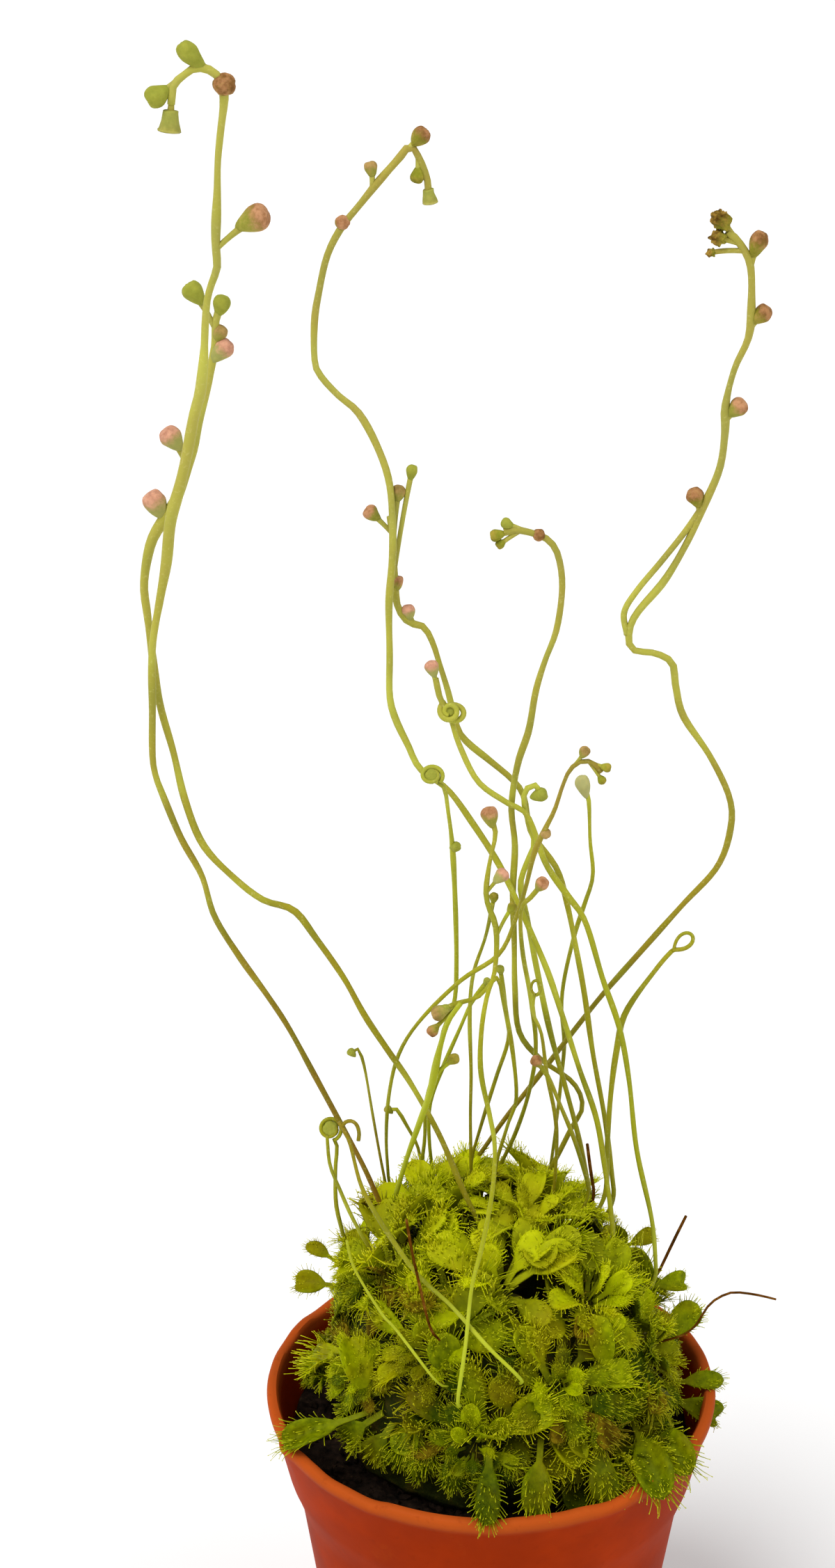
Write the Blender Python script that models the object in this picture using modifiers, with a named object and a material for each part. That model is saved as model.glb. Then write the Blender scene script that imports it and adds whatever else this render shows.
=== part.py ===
# A clump of sundews in a round plastic nursery pot.
# The pot's base centre is the origin, +Z is up, and +Y points away from the viewer.

import math

import bmesh
import bpy
import numpy as np
from mathutils import Matrix, Quaternion, Vector
from mathutils.bvhtree import BVHTree

MM = 0.001
GAP = 0.3 * MM

# Pot
RIM_RADIUS = 30.0 * MM
RIM_HEIGHT = 55.0 * MM
COLLAR_FOOT_RADIUS = 27.4 * MM
COLLAR_FOOT_HEIGHT = 43.0 * MM
SHOULDER_RADIUS = 25.6 * MM
SHOULDER_HEIGHT = 38.4 * MM
BASE_RADIUS = 20.2 * MM
LIP_HEIGHT = 1.8 * MM
LIP_STEP = 0.5 * MM
RIM_WALL = 1.5 * MM
WALL = 1.1 * MM
FLOOR = 1.4 * MM
POT_SIDES = 48
DRAIN_HOLES = 5
DRAIN_HOLE_RADIUS = 1.7 * MM
DRAIN_RING_RADIUS = 12.5 * MM
DRAIN_CUT_DEPTH = 6 * MM

# Growing medium and the mound on it
PEAT_HEIGHT = 48.0 * MM
PEAT_CROWN = 0.8 * MM
CUSHION_RADIUS = 20.5 * MM
CUSHION_RISE = 24.5 * MM

# Crowns of leaves
CROWN_COUNT = 20
CROWN_POLAR_LIMIT = math.radians(93)
CROWN_MAX_RADIUS = 6.6 * MM
CROWN_SPACING = 0.485
CROWN_THICKNESS = 3.4 * MM
CROWN_LEAVES = 7
CROWN_LOBE = 0.11
CROWN_TWIST = 1.1
GOLDEN_ANGLE = math.pi * (3 - math.sqrt(5))

# Flower stems
STEM_STEP = 6.0 * MM
STEM_CLEARANCE = 0.45 * MM
STEM_TAILS = (2 * MM, 4 * MM)
STEM_TIP_SHARE = 0.8
STEM_TAPER_POINTS = 6
SETTLE_ROUNDS = 90
SETTLE_SHARE = 0.55
SETTLED = 0.02 * MM
SETTLE_SPREAD = (0.12, 0.23, 0.3, 0.23, 0.12)

# The photograph's viewpoint, which places every flower stem: the points of a route are photograph
# pixels in a 1200 x 2253 frame, and each lies on the upright plane at its depth in millimetres.
EYE = Vector((-9.8 * MM, -330.0 * MM, 295.0 * MM))
VIEW_DOWN = math.radians(24.7)
FOCAL_PIXELS = 4280.0
CENTRE_PIXEL = (600.0, 1126.5)
PLANT_DISTANCE = 0.37

# Each route runs from the stem's tip down to where it leaves the leaves.
# depth: millimetres behind the pot's middle at the tip and at the foot; width: the stem in millimetres.
# buds: photograph pixel, width in millimetres and length over width of each bud or coiled tip.
STEMS = {
    "scape_tall_tan": {
        "route": [(246, 150), (249, 122), (260, 112), (277, 99), (298, 99), (318, 116), (322, 143), (317, 189),
                  (313, 232), (312, 281), (310, 344), (312, 384), (306, 402), (298, 430), (295, 465), (293, 511),
                  (288, 562), (279, 597), (269, 651), (258, 700), (245, 749), (239, 809), (229, 866), (219, 930),
                  (219, 1016), (219, 1082), (223, 1112), (233, 1140), (260, 1204), (290, 1258), (308, 1316),
                  (343, 1373), (384, 1430), (415, 1477), (451, 1543), (484, 1604), (522, 1675), (553, 1744),
                  (579, 1798)],
        "depth": (-9, 3), "width": 0.95,
        "buds": [(244, 176, 2.3, 1.0), (272, 77, 2.3, 1.3), (224, 138, 2.5, 1.0), (322, 122, 2.6, 1.0),
                 (367, 314, 3.0, 1.1)],
    },
    "scape_tall_green": {
        "route": [(318, 436), (310, 462), (309, 494), (303, 530), (294, 572), (284, 612), (275, 651), (262, 697),
                  (245, 733), (222, 768), (212, 800), (207, 843), (212, 885), (223, 973), (232, 1021), (249, 1080),
                  (266, 1150), (292, 1214), (336, 1261), (378, 1293), (422, 1308), (454, 1348), (494, 1405),
                  (524, 1459), (558, 1510), (591, 1558), (632, 1632), (665, 1709), (688, 1757)],
        "depth": (0, -2), "width": 0.95,
        "buds": [(278, 419, 2.5, 1.0), (318, 436, 2.2, 1.0), (320, 500, 2.4, 1.2), (246, 628, 2.7, 1.0),
                 (225, 722, 2.8, 1.1)],
    },
    "scape_drooping": {
        "route": [(616, 285), (614, 258), (604, 231), (590, 210), (572, 229), (543, 262), (518, 293), (490, 328),
                  (470, 368), (458, 421), (452, 461), (452, 516), (460, 539), (486, 568), (515, 593), (541, 639),
                  (559, 691), (564, 751), (564, 803), (559, 866), (560, 940), (560, 999), (568, 1032), (586, 1070),
                  (604, 1105), (644, 1135), (680, 1184), (713, 1235), (736, 1280), (761, 1335), (787, 1396),
                  (809, 1462), (833, 1537), (857, 1607), (870, 1683), (880, 1760), (881, 1820), (876, 1877)],
        "depth": (15, -4), "width": 0.9,
        "buds": [(617, 280, 1.9, 1.0), (605, 195, 2.2, 1.0), (600, 253, 1.7, 1.0), (533, 241, 1.6, 1.0),
                 (494, 320, 1.8, 1.0)],
    },
    "scape_beaded": {
        "route": [(560, 742), (565, 775), (567, 812), (568, 850), (573, 875), (588, 894), (609, 901), (622, 924),
                  (631, 952), (644, 994), (657, 1045), (671, 1066), (704, 1093), (737, 1121), (753, 1145),
                  (764, 1197), (800, 1248), (815, 1299), (828, 1363), (840, 1429), (852, 1513), (870, 1612),
                  (882, 1709)],
        "depth": (9, 5), "width": 0.85,
        "buds": [(592, 677, 1.5, 1.2), (572, 707, 1.7, 1.0), (533, 737, 1.9, 1.0), (571, 837, 1.4, 1.3),
                 (587, 878, 1.6, 1.0)],
    },
    "scape_knotted": {
        "route": [(626, 975), (633, 1005), (646, 1028), (660, 1070), (687, 1123), (728, 1153), (758, 1172),
                  (784, 1240), (815, 1286), (841, 1324), (866, 1406), (890, 1476), (904, 1552), (915, 1652),
                  (937, 1754), (943, 1826)],
        "depth": (2, 0), "width": 0.8,
        "buds": [(621, 959, 1.8, 1.0), (646, 1022, 3.2, 1.0)],
    },
    "scape_middle_hook": {
        "route": [(724, 764), (739, 761), (765, 766), (788, 776), (802, 798), (808, 843), (800, 904), (783, 950),
                  (770, 993), (760, 1049), (744, 1098), (735, 1159), (740, 1215), (737, 1280), (739, 1355),
                  (740, 1419), (746, 1482), (776, 1521), (823, 1555), (837, 1590), (820, 1623), (792, 1678),
                  (772, 1706)],
        "depth": (-3, 8), "width": 0.85,
        "buds": [(713, 769, 1.5, 1.0), (728, 752, 1.3, 1.0), (774, 769, 1.5, 1.0)],
    },
    "scape_tall_right": {
        "route": [(1045, 333), (1061, 347), (1078, 379), (1080, 435), (1076, 484), (1056, 529), (1043, 580),
                  (1042, 620), (1034, 674), (1008, 734), (987, 780), (955, 834), (916, 880), (904, 908),
                  (909, 933), (943, 939), (966, 953), (971, 985), (982, 1029), (1020, 1086), (1048, 1145),
                  (1050, 1190), (1031, 1245), (980, 1301), (920, 1368), (866, 1429), (823, 1483), (771, 1550),
                  (726, 1607), (687, 1662), (665, 1690)],
        "depth": (-12, 15), "width": 0.9,
        "buds": [(1037, 320, 2.2, 1.2), (1031, 346, 1.8, 1.0), (1090, 348, 2.1, 1.2), (1096, 451, 2.0, 1.1),
                 (1061, 585, 2.2, 1.0), (999, 713, 2.1, 1.0)],
    },
    "scape_small_cyme": {
        "route": [(864, 1110), (856, 1099), (838, 1093), (820, 1105), (809, 1128), (797, 1164), (784, 1190),
                  (768, 1225), (756, 1273), (744, 1312), (718, 1370), (662, 1409), (604, 1466), (573, 1515),
                  (559, 1573), (555, 1635), (558, 1690)],
        "depth": (-13, 10), "width": 0.6,
        "buds": [(840, 1080, 1.3, 1.0), (870, 1106, 1.3, 1.0), (784, 1198, 1.3, 1.0)],
    },
    "scape_grey_bud": {
        "route": [(838, 1127), (846, 1150), (848, 1207), (852, 1258), (840, 1299), (826, 1342), (811, 1406),
                  (807, 1450), (811, 1497), (807, 1547), (799, 1618), (791, 1680)],
        "depth": (13, 11), "width": 0.6,
        "buds": [(838, 1127, 2.0, 1.3)],
    },
    "scape_green_hook": {
        "route": [(777, 1138), (768, 1128), (755, 1136), (753, 1155), (760, 1185), (768, 1212), (757, 1240),
                  (748, 1273), (758, 1322), (772, 1395), (790, 1480), (812, 1560), (833, 1640), (849, 1722)],
        "depth": (1, 8), "width": 0.8,
        "buds": [(777, 1142, 1.8, 1.0)],
    },
    "scape_pink_bud": {
        "route": [(704, 1171), (712, 1198), (703, 1243), (699, 1290), (713, 1335), (711, 1395), (700, 1431),
                  (692, 1480), (691, 1540), (704, 1604), (711, 1647), (708, 1708), (694, 1786), (678, 1850),
                  (669, 1933), (659, 2002)],
        "depth": (-6, -24), "width": 0.65,
        "buds": [(704, 1171, 2.3, 1.0), (721, 1258, 1.8, 1.0)],
    },
    "scape_side_bud": {
        "route": [(779, 1270), (764, 1288), (750, 1303), (748, 1330), (752, 1375), (764, 1440), (770, 1508),
                  (760, 1570), (742, 1625), (722, 1668)],
        "depth": (-10, 12), "width": 0.65,
        "buds": [(779, 1270, 1.7, 1.0)],
    },
    "scape_coil": {
        "route": [(620, 1114), (638, 1132), (644, 1166), (650, 1215), (654, 1290), (656, 1380), (653, 1439),
                  (638, 1480), (628, 1528), (612, 1584), (610, 1640), (600, 1705)],
        "depth": (-3, 12), "width": 0.65,
        "buds": [(620, 1114, 2.6, 1.0), (654, 1217, 1.3, 1.8)],
    },
    "scape_loop_right": {
        "route": [(985, 1352), (966, 1366), (941, 1395), (899, 1455), (886, 1510), (878, 1570), (873, 1640),
                  (872, 1700)],
        "depth": (6, 2), "width": 0.8,
        "buds": [(985, 1352, 2.3, 1.1)],
    },
    "scape_oval_coil": {
        "route": [(768, 1425), (766, 1455), (778, 1485), (786, 1544), (798, 1604), (800, 1650), (797, 1700)],
        "depth": (-6, 4), "width": 0.55,
        "buds": [(770, 1421, 1.5, 1.5)],
    },
    "scape_left_cluster": {
        "route": [(631, 1455), (652, 1443), (688, 1432), (714, 1405), (724, 1440), (737, 1513), (742, 1578),
                  (731, 1612), (716, 1660)],
        "depth": (-8, 6), "width": 0.6,
        "buds": [(631, 1455, 1.9, 1.1), (622, 1481, 1.5, 1.0)],
    },
    "scape_pale_a": {
        "route": [(662, 1442), (644, 1468), (631, 1510), (619, 1566), (604, 1610), (586, 1660), (570, 1712)],
        "depth": (-15, 4), "width": 0.8,
        "buds": [(652, 1522, 1.3, 1.1)],
    },
    "scape_pale_b": {
        "route": [(700, 1410), (678, 1440), (660, 1480), (638, 1530), (618, 1585), (617, 1640), (624, 1700)],
        "depth": (12, 13), "width": 0.6,
        "buds": [(700, 1410, 1.1, 1.0)],
    },
    "scape_thin_vertical": {
        "route": [(710, 1289), (698, 1345), (680, 1400), (675, 1460), (677, 1540), (676, 1604), (677, 1675)],
        "depth": (4, 8), "width": 0.55,
        "buds": [(710, 1289, 1.3, 1.0)],
    },
    "scape_thin_mid": {
        "route": [(719, 1393), (726, 1440), (731, 1490), (714, 1545), (698, 1595), (680, 1655)],
        "depth": (-2, 11), "width": 0.55,
        "buds": [(719, 1393, 1.1, 1.0)],
    },
    "scape_thin_right": {
        "route": [(771, 1525), (788, 1548), (806, 1590), (826, 1639), (845, 1700)],
        "depth": (-9, 2), "width": 0.6,
        "buds": [(771, 1525, 1.4, 1.0)],
    },
    "scape_thin_hook": {
        "route": [(505, 1512), (513, 1506), (523, 1530), (536, 1604), (546, 1660), (556, 1710)],
        "depth": (8, 9), "width": 0.45,
        "buds": [(505, 1512, 1.1, 1.0)],
    },
    "scape_small_hook": {
        "route": [(558, 1594), (570, 1594), (586, 1620), (601, 1650), (609, 1700)],
        "depth": (14, 14), "width": 0.5,
        "buds": [(558, 1594, 1.1, 1.0)],
    },
    "scape_left_coil": {
        "route": [(474, 1624), (484, 1645), (482, 1680), (483, 1730), (492, 1770)],
        "depth": (3, 2), "width": 0.6,
        "buds": [(474, 1624, 2.6, 1.0)],
    },
    "scape_left_curl": {
        "route": [(470, 1632), (474, 1673), (487, 1706), (504, 1745), (520, 1775)],
        "depth": (-2, -3), "width": 0.55,
        "buds": [(502, 1614, 1.0, 1.0)],
    },
    "scape_foreground": {
        "route": [(487, 1612), (502, 1640), (520, 1706), (553, 1765), (600, 1831), (648, 1876), (698, 1932),
                  (735, 1968)],
        "depth": (-9, -25), "width": 0.6,
        "buds": [],
    },
    "scape_thin_left": {
        "route": [(498, 1782), (510, 1824), (549, 1888), (568, 1909), (617, 1973)],
        "depth": (-16, -24), "width": 0.4,
        "buds": [],
    },
    "dry_stalk_right": {
        "route": [(1115, 1867), (1090, 1861), (1060, 1857), (1042, 1860), (1020, 1874), (1003, 1900)],
        "depth": (-2, -4), "width": 0.45,
        "buds": [],
    },
    "dry_stalk_back": {
        "route": [(986, 1747), (970, 1779), (948, 1825)],
        "depth": (3, 0), "width": 0.45,
        "buds": [],
    },
    "dry_stalk_front": {
        "route": [(584, 1752), (590, 1788), (597, 1821), (613, 1890)],
        "depth": (-15, -23), "width": 0.4,
        "buds": [],
    },
    "dry_stalk_dark": {
        "route": [(844, 1644), (848, 1676), (853, 1708)],
        "depth": (3, 5), "width": 0.5,
        "buds": [],
    },
}


def surface(name, colour, roughness):
    """A Principled material of one colour."""
    material = bpy.data.materials.new(name)
    material.use_nodes = True
    shader = material.node_tree.nodes["Principled BSDF"]
    shader.inputs["Base Color"].default_value = (*colour, 1.0)
    shader.inputs["Roughness"].default_value = roughness
    shader.inputs["Metallic"].default_value = 0.0
    return material


def keep(obj, collection, material=None):
    """Puts an object in its collection with its material."""
    for other in list(obj.users_collection):
        other.objects.unlink(obj)
    collection.objects.link(obj)
    if material:
        obj.data.materials.clear()
        obj.data.materials.append(material)
    return obj


def hide_tool(obj, collection):
    """Keeps a solid that only joins or cuts others out of the model."""
    keep(obj, collection)
    obj.hide_render = True
    obj.display_type = "WIRE"
    return obj


def object_of(name, bm):
    """Makes an object of a bmesh."""
    mesh = bpy.data.meshes.new(name)
    bm.to_mesh(mesh)
    bm.free()
    return bpy.data.objects.new(name, mesh)


def boolean(obj, tool, operation, use_self=False):
    """Adds an exact Boolean to an object."""
    modifier = obj.modifiers.new(operation.title(), "BOOLEAN")
    modifier.operation = operation
    modifier.solver = "EXACT"
    modifier.use_self = use_self
    modifier.object = tool


def turned(name, profile, parts, material):
    """Turns a profile of (radius, height) about the Z axis; its outer side runs from top to bottom."""
    bm = bmesh.new()
    verts = [bm.verts.new((radius, 0.0, height)) for radius, height in profile]
    for first, second in zip(verts, verts[1:]):
        bm.edges.new((first, second))
    obj = keep(object_of(name, bm), parts, material)
    screw = obj.modifiers.new("Screw", "SCREW")
    screw.axis = "Z"
    screw.steps = POT_SIDES
    screw.render_steps = POT_SIDES
    screw.use_merge_vertices = True
    screw.merge_threshold = 0.00001
    return obj


def outer_radius(height):
    """The pot's outer radius at a height."""
    heights = [0.0, SHOULDER_HEIGHT, COLLAR_FOOT_HEIGHT, RIM_HEIGHT]
    radii = [BASE_RADIUS, SHOULDER_RADIUS, COLLAR_FOOT_RADIUS, RIM_RADIUS]
    return float(np.interp(height, heights, radii))


def make_pot(parts, cutters, material):
    """The pot: thin walls, a deep collar on a shoulder, and drain holes clear of the base's middle."""
    lip_foot = RIM_HEIGHT - LIP_HEIGHT
    profile = [
        (0.0, FLOOR),
        (BASE_RADIUS - WALL - 1.2 * MM, FLOOR),
        (BASE_RADIUS - WALL + 0.1 * MM, FLOOR + 1.2 * MM),
        (SHOULDER_RADIUS - WALL, SHOULDER_HEIGHT),
        (COLLAR_FOOT_RADIUS - WALL, COLLAR_FOOT_HEIGHT + WALL),
        (RIM_RADIUS - RIM_WALL, RIM_HEIGHT - 0.4 * MM),
        (RIM_RADIUS - RIM_WALL + 0.4 * MM, RIM_HEIGHT),
        (RIM_RADIUS - 0.4 * MM, RIM_HEIGHT),
        (RIM_RADIUS, RIM_HEIGHT - 0.4 * MM),
        (outer_radius(lip_foot), lip_foot),
        (outer_radius(lip_foot) - LIP_STEP, lip_foot - LIP_STEP),
        (COLLAR_FOOT_RADIUS - LIP_STEP, COLLAR_FOOT_HEIGHT),
        (SHOULDER_RADIUS, SHOULDER_HEIGHT),
        (BASE_RADIUS, 1.0 * MM),
        (BASE_RADIUS - 0.8 * MM, 0.0),
        (0.0, 0.0),
    ]
    pot = turned("pot", profile, parts, material)
    bm = bmesh.new()
    for index in range(DRAIN_HOLES):
        angle = 2 * math.pi * (index + 0.25) / DRAIN_HOLES
        place = Vector((math.cos(angle), math.sin(angle), 0.0)) * DRAIN_RING_RADIUS
        bmesh.ops.create_cone(bm, cap_ends=True, segments=12, radius1=DRAIN_HOLE_RADIUS,
                              radius2=DRAIN_HOLE_RADIUS, depth=DRAIN_CUT_DEPTH, matrix=Matrix.Translation(place))
    drains = hide_tool(object_of("drain_cutter", bm), cutters)
    boolean(pot, drains, "DIFFERENCE")
    return pot


def make_peat(parts, material):
    """The growing medium: it fills the pot, just clear of its walls, with a slightly crowned top."""
    wall_gap = WALL + GAP
    rim_slope = (RIM_RADIUS - RIM_WALL - (COLLAR_FOOT_RADIUS - WALL)) / (RIM_HEIGHT - COLLAR_FOOT_HEIGHT - WALL)
    top_radius = COLLAR_FOOT_RADIUS - WALL + (PEAT_HEIGHT - COLLAR_FOOT_HEIGHT - WALL) * rim_slope - 2 * GAP
    profile = [
        (0.0, PEAT_HEIGHT + PEAT_CROWN),
        (0.7 * top_radius, PEAT_HEIGHT + 0.6 * PEAT_CROWN),
        (top_radius, PEAT_HEIGHT),
        (COLLAR_FOOT_RADIUS - wall_gap - GAP, COLLAR_FOOT_HEIGHT + WALL),
        (SHOULDER_RADIUS - wall_gap - GAP, SHOULDER_HEIGHT),
        (BASE_RADIUS - wall_gap - GAP, FLOOR + 1.8 * MM),
        (BASE_RADIUS - wall_gap - 1.6 * MM, FLOOR + GAP),
        (0.0, FLOOR + GAP),
    ]
    return turned("peat", profile, parts, material)


def make_cushion(parts, material):
    """The dome of spent leaves on the peat, up which the crowns have grown."""
    foot = PEAT_HEIGHT + PEAT_CROWN + GAP
    low = (foot - RIM_HEIGHT) / CUSHION_RISE
    steps = 9
    profile = []
    for index in range(steps):
        angle = math.radians(90) - (math.radians(90) - math.asin(low)) * index / (steps - 1)
        profile.append((CUSHION_RADIUS * math.cos(angle), RIM_HEIGHT + CUSHION_RISE * math.sin(angle)))
    profile[0] = (0.0, RIM_HEIGHT + CUSHION_RISE)
    profile.append((0.0, foot))
    return turned("leaf_cushion", profile, parts, material)


def crown_places():
    """Evenly spread places on the cushion, each with its outward direction."""
    places = []
    for index in range(CROWN_COUNT):
        rise = 1 - (index + 0.5) / CROWN_COUNT * (1 - math.cos(CROWN_POLAR_LIMIT))
        polar = math.acos(rise)
        turn = index * GOLDEN_ANGLE
        across = Vector((math.sin(polar) * math.cos(turn), math.sin(polar) * math.sin(turn), 0.0))
        place = across * CUSHION_RADIUS + Vector((0.0, 0.0, RIM_HEIGHT + CUSHION_RISE * math.cos(polar)))
        outward = (across / CUSHION_RADIUS + Vector((0.0, 0.0, math.cos(polar) / CUSHION_RISE))).normalized()
        places.append((place, outward))
    return places


def make_rosettes(parts, material):
    """Crowns of leaves: lobed, shallow domes that stand on the cushion side by side."""
    places = crown_places()
    rosettes = []
    for index, (place, outward) in enumerate(places):
        nearest = min((place - other).length for other, _ in places if other != place)
        radius = min(CROWN_SPACING * nearest, CROWN_MAX_RADIUS)
        bm = bmesh.new()
        bmesh.ops.create_uvsphere(bm, u_segments=2 * CROWN_LEAVES, v_segments=5, radius=1.0)
        for vert in bm.verts:
            angle = math.atan2(vert.co.y, vert.co.x)
            lobe = 1 - CROWN_LOBE + CROWN_LOBE * math.cos(CROWN_LEAVES * angle)
            vert.co.x *= radius * lobe
            vert.co.y *= radius * lobe
            vert.co.z = (vert.co.z + 1) * 0.5 * CROWN_THICKNESS
        lift = place + outward * GAP * 1.2
        turn = Vector((0.0, 0.0, 1.0)).rotation_difference(outward) @ Quaternion((0, 0, 1), index * CROWN_TWIST)
        obj = keep(object_of(f"rosette_{index + 1:02d}", bm), parts, material)
        obj.location = lift
        obj.rotation_mode = "QUATERNION"
        obj.rotation_quaternion = turn
        obj.data.shade_smooth()
        rosettes.append(obj)
    return rosettes


def spot(px, py, depth):
    """The point at a photograph pixel on the upright plane at a depth in metres."""
    ahead = Vector((0.0, math.cos(VIEW_DOWN), -math.sin(VIEW_DOWN)))
    up = Vector((0.0, math.sin(VIEW_DOWN), math.cos(VIEW_DOWN)))
    across = (px - CENTRE_PIXEL[0]) / FOCAL_PIXELS
    raised = (CENTRE_PIXEL[1] - py) / FOCAL_PIXELS
    ray = ahead + up * raised + Vector((across, 0.0, 0.0))
    return EYE + ray * ((depth - EYE.y) / ray.y)


def smooth_pixels(route, step):
    """Even points on a smooth curve through a route's pixels, about a step apart in metres."""
    points = np.array(route, float)
    ends = np.vstack([2 * points[0] - points[1], points, 2 * points[-1] - points[-2]])
    fine = []
    for a, b, c, d in zip(ends, ends[1:], ends[2:], ends[3:]):
        for t in np.linspace(0, 1, 12, endpoint=False):
            fine.append(0.5 * (2 * b + (c - a) * t + (2 * a - 5 * b + 4 * c - d) * t**2
                               + (3 * b - a - 3 * c + d) * t**3))
    fine = np.array(fine + [points[-1]])
    run = np.concatenate([[0], np.cumsum(np.linalg.norm(np.diff(fine, axis=0), axis=1))])
    pixels_per_metre = FOCAL_PIXELS / PLANT_DISTANCE
    count = max(4, int(round(run[-1] / (step * pixels_per_metre))) + 1)
    at = np.linspace(0, run[-1], count)
    return np.column_stack([np.interp(at, run, fine[:, 0]), np.interp(at, run, fine[:, 1])])


def settle_depths(pixels, depths, widths):
    """Moves stems that would touch apart, along the line of sight only, until each pair is clear."""
    names = list(pixels)
    owner = np.concatenate([np.full(len(pixels[name]), index) for index, name in enumerate(names)])
    flat = np.vstack([pixels[name] for name in names])
    depth = np.concatenate([depths[name] for name in names])
    width = np.concatenate([np.full(len(pixels[name]), widths[name]) for name in names])
    for _ in range(SETTLE_ROUNDS):
        place = np.array([spot(px, py, y) for (px, py), y in zip(flat, depth)])
        apart = place[:, None, :] - place[None, :, :]
        need = (width[:, None] + width[None, :]) / 2 + STEM_CLEARANCE
        beside = np.hypot(apart[:, :, 0], apart[:, :, 2])
        reach = np.sqrt(np.clip((need + STEM_STEP / 4) ** 2 - beside**2, 0, None))
        short = np.clip(np.minimum(reach, need) - np.abs(apart[:, :, 1]), 0, None)
        short[owner[:, None] == owner[None, :]] = 0
        if short.max() < SETTLED:
            break
        side = np.where(apart[:, :, 1] != 0, np.sign(apart[:, :, 1]), np.sign(owner[:, None] - owner[None, :]))
        push = short * side
        strongest = np.take_along_axis(push, np.abs(push).argmax(1)[:, None], 1)[:, 0]
        for index in range(len(names)):
            mine = owner == index
            shove = strongest[mine]
            spread = np.convolve(np.pad(shove, 2, mode="edge"), SETTLE_SPREAD, "valid")
            depth[mine] += SETTLE_SHARE * np.where(np.abs(spread) > np.abs(shove), spread, shove)
    return {name: depth[owner == index] for index, name in enumerate(names)}


def stem_lines():
    """Each stem's centre line in space, from tip to foot."""
    pixels, depths, widths = {}, {}, {}
    for name, stem in STEMS.items():
        line = smooth_pixels(stem["route"], STEM_STEP)
        tip, foot = stem["depth"]
        share = np.linspace(0, 1, len(line))
        pixels[name] = line
        depths[name] = (tip + (foot - tip) * share) * MM
        widths[name] = stem["width"] * MM
    depths = settle_depths(pixels, depths, widths)
    return {name: [spot(px, py, y) for (px, py), y in zip(pixels[name], depths[name])] for name in STEMS}


def is_clear(point, room, mound):
    """Whether a point is outside the mound with room to spare."""
    near, normal, _, distance = mound.find_nearest(point)
    return (point - near).dot(normal) > 0 and distance > room


def stop_at_mound(points, radius, mound):
    """Runs a line on into the mound, and ends it just clear of the first surface that it meets."""
    room = radius + GAP + 0.15 * MM
    heart = Vector((0.0, 0.0, RIM_HEIGHT))
    inward = (heart - points[-1]).normalized() + Vector((0.0, 0.0, -1.0))
    line = points + [points[-1] + inward * tail for tail in STEM_TAILS]
    kept = []
    for point in line:
        if not is_clear(point, room, mound):
            break
        kept.append(point)
    if len(kept) < len(line):
        near, far = kept[-1], line[len(kept)]
        for _ in range(8):
            middle = (near + far) / 2
            if is_clear(middle, room, mound):
                near = middle
            else:
                far = middle
        if (near - kept[-1]).length > radius:
            kept.append(near)
    return kept


def tube(name, points, radius, parts, material):
    """A round stem along a line, thinner at its tip, as a closed mesh."""
    curve = bpy.data.curves.new(name + "_line", "CURVE")
    curve.dimensions = "3D"
    curve.bevel_depth = radius
    curve.bevel_resolution = 2
    curve.use_fill_caps = True
    spline = curve.splines.new("POLY")
    spline.points.add(len(points) - 1)
    for index, point in enumerate(points):
        spline.points[index].co = (*point, 1.0)
        spline.points[index].radius = STEM_TIP_SHARE + (1 - STEM_TIP_SHARE) * min(1.0, index / STEM_TAPER_POINTS)
    line = bpy.data.objects.new(name + "_line", curve)
    parts.objects.link(line)
    depsgraph = bpy.context.evaluated_depsgraph_get()
    mesh = bpy.data.meshes.new_from_object(line.evaluated_get(depsgraph))
    bm = bmesh.new()
    bm.from_mesh(mesh)
    bmesh.ops.remove_doubles(bm, verts=bm.verts, dist=0.00001)
    bm.to_mesh(mesh)
    bm.free()
    obj = keep(bpy.data.objects.new(name, mesh), parts, material)
    obj.matrix_world = line.matrix_world
    bpy.data.objects.remove(line)
    obj.data.shade_smooth()
    return obj


def make_buds(name, buds, line, radius, cutters):
    """A stem's buds, with the little stalks of those that stand away from it."""
    bm = bmesh.new()
    for px, py, width, length in buds:
        size = width * MM / 2
        nearest = min(line, key=lambda point: (point - spot(px, py, point.y)).length)
        centre = spot(px, py, nearest.y)
        away = centre - nearest
        direction = away.normalized() if away.length > size * 0.5 else Vector((0.0, 0.0, 1.0))
        turn = Vector((0.0, 0.0, 1.0)).rotation_difference(direction).to_matrix().to_4x4()
        shape = Matrix.Diagonal((size, size, size * length, 1.0))
        bmesh.ops.create_uvsphere(bm, u_segments=8, v_segments=5, radius=1.0,
                                  matrix=Matrix.Translation(centre) @ turn @ shape)
        if away.length > size + radius * 0.5:
            start = nearest - direction * radius * 0.3
            middle = (start + centre) / 2
            bmesh.ops.create_cone(bm, cap_ends=True, segments=6, radius1=radius * 0.62, radius2=radius * 0.62,
                                  depth=(centre - start).length, matrix=Matrix.Translation(middle) @ turn)
    return hide_tool(object_of(name + "_buds", bm), cutters)


def make_stems(parts, cutters, mound, materials):
    """Every flower stem with its buds, and the dried stalks."""
    lines = stem_lines()
    for name, stem in STEMS.items():
        radius = stem["width"] * MM / 2
        line = stop_at_mound(lines[name], radius, mound)
        material = materials["dry"] if name.startswith("dry") else materials["stem"]
        obj = tube(name, line, radius, parts, material)
        if stem["buds"]:
            boolean(obj, make_buds(name, stem["buds"], line, radius, cutters), "UNION", use_self=True)


def mound_surface(objects):
    """The surface of the mound, for stopping stems just above it."""
    depsgraph = bpy.context.evaluated_depsgraph_get()
    bm = bmesh.new()
    for obj in objects:
        done = obj.evaluated_get(depsgraph)
        mesh = done.to_mesh()
        mesh.transform(obj.matrix_world)
        bm.from_mesh(mesh)
        done.to_mesh_clear()
    tree = BVHTree.FromBMesh(bm)
    bm.free()
    return tree


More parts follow.
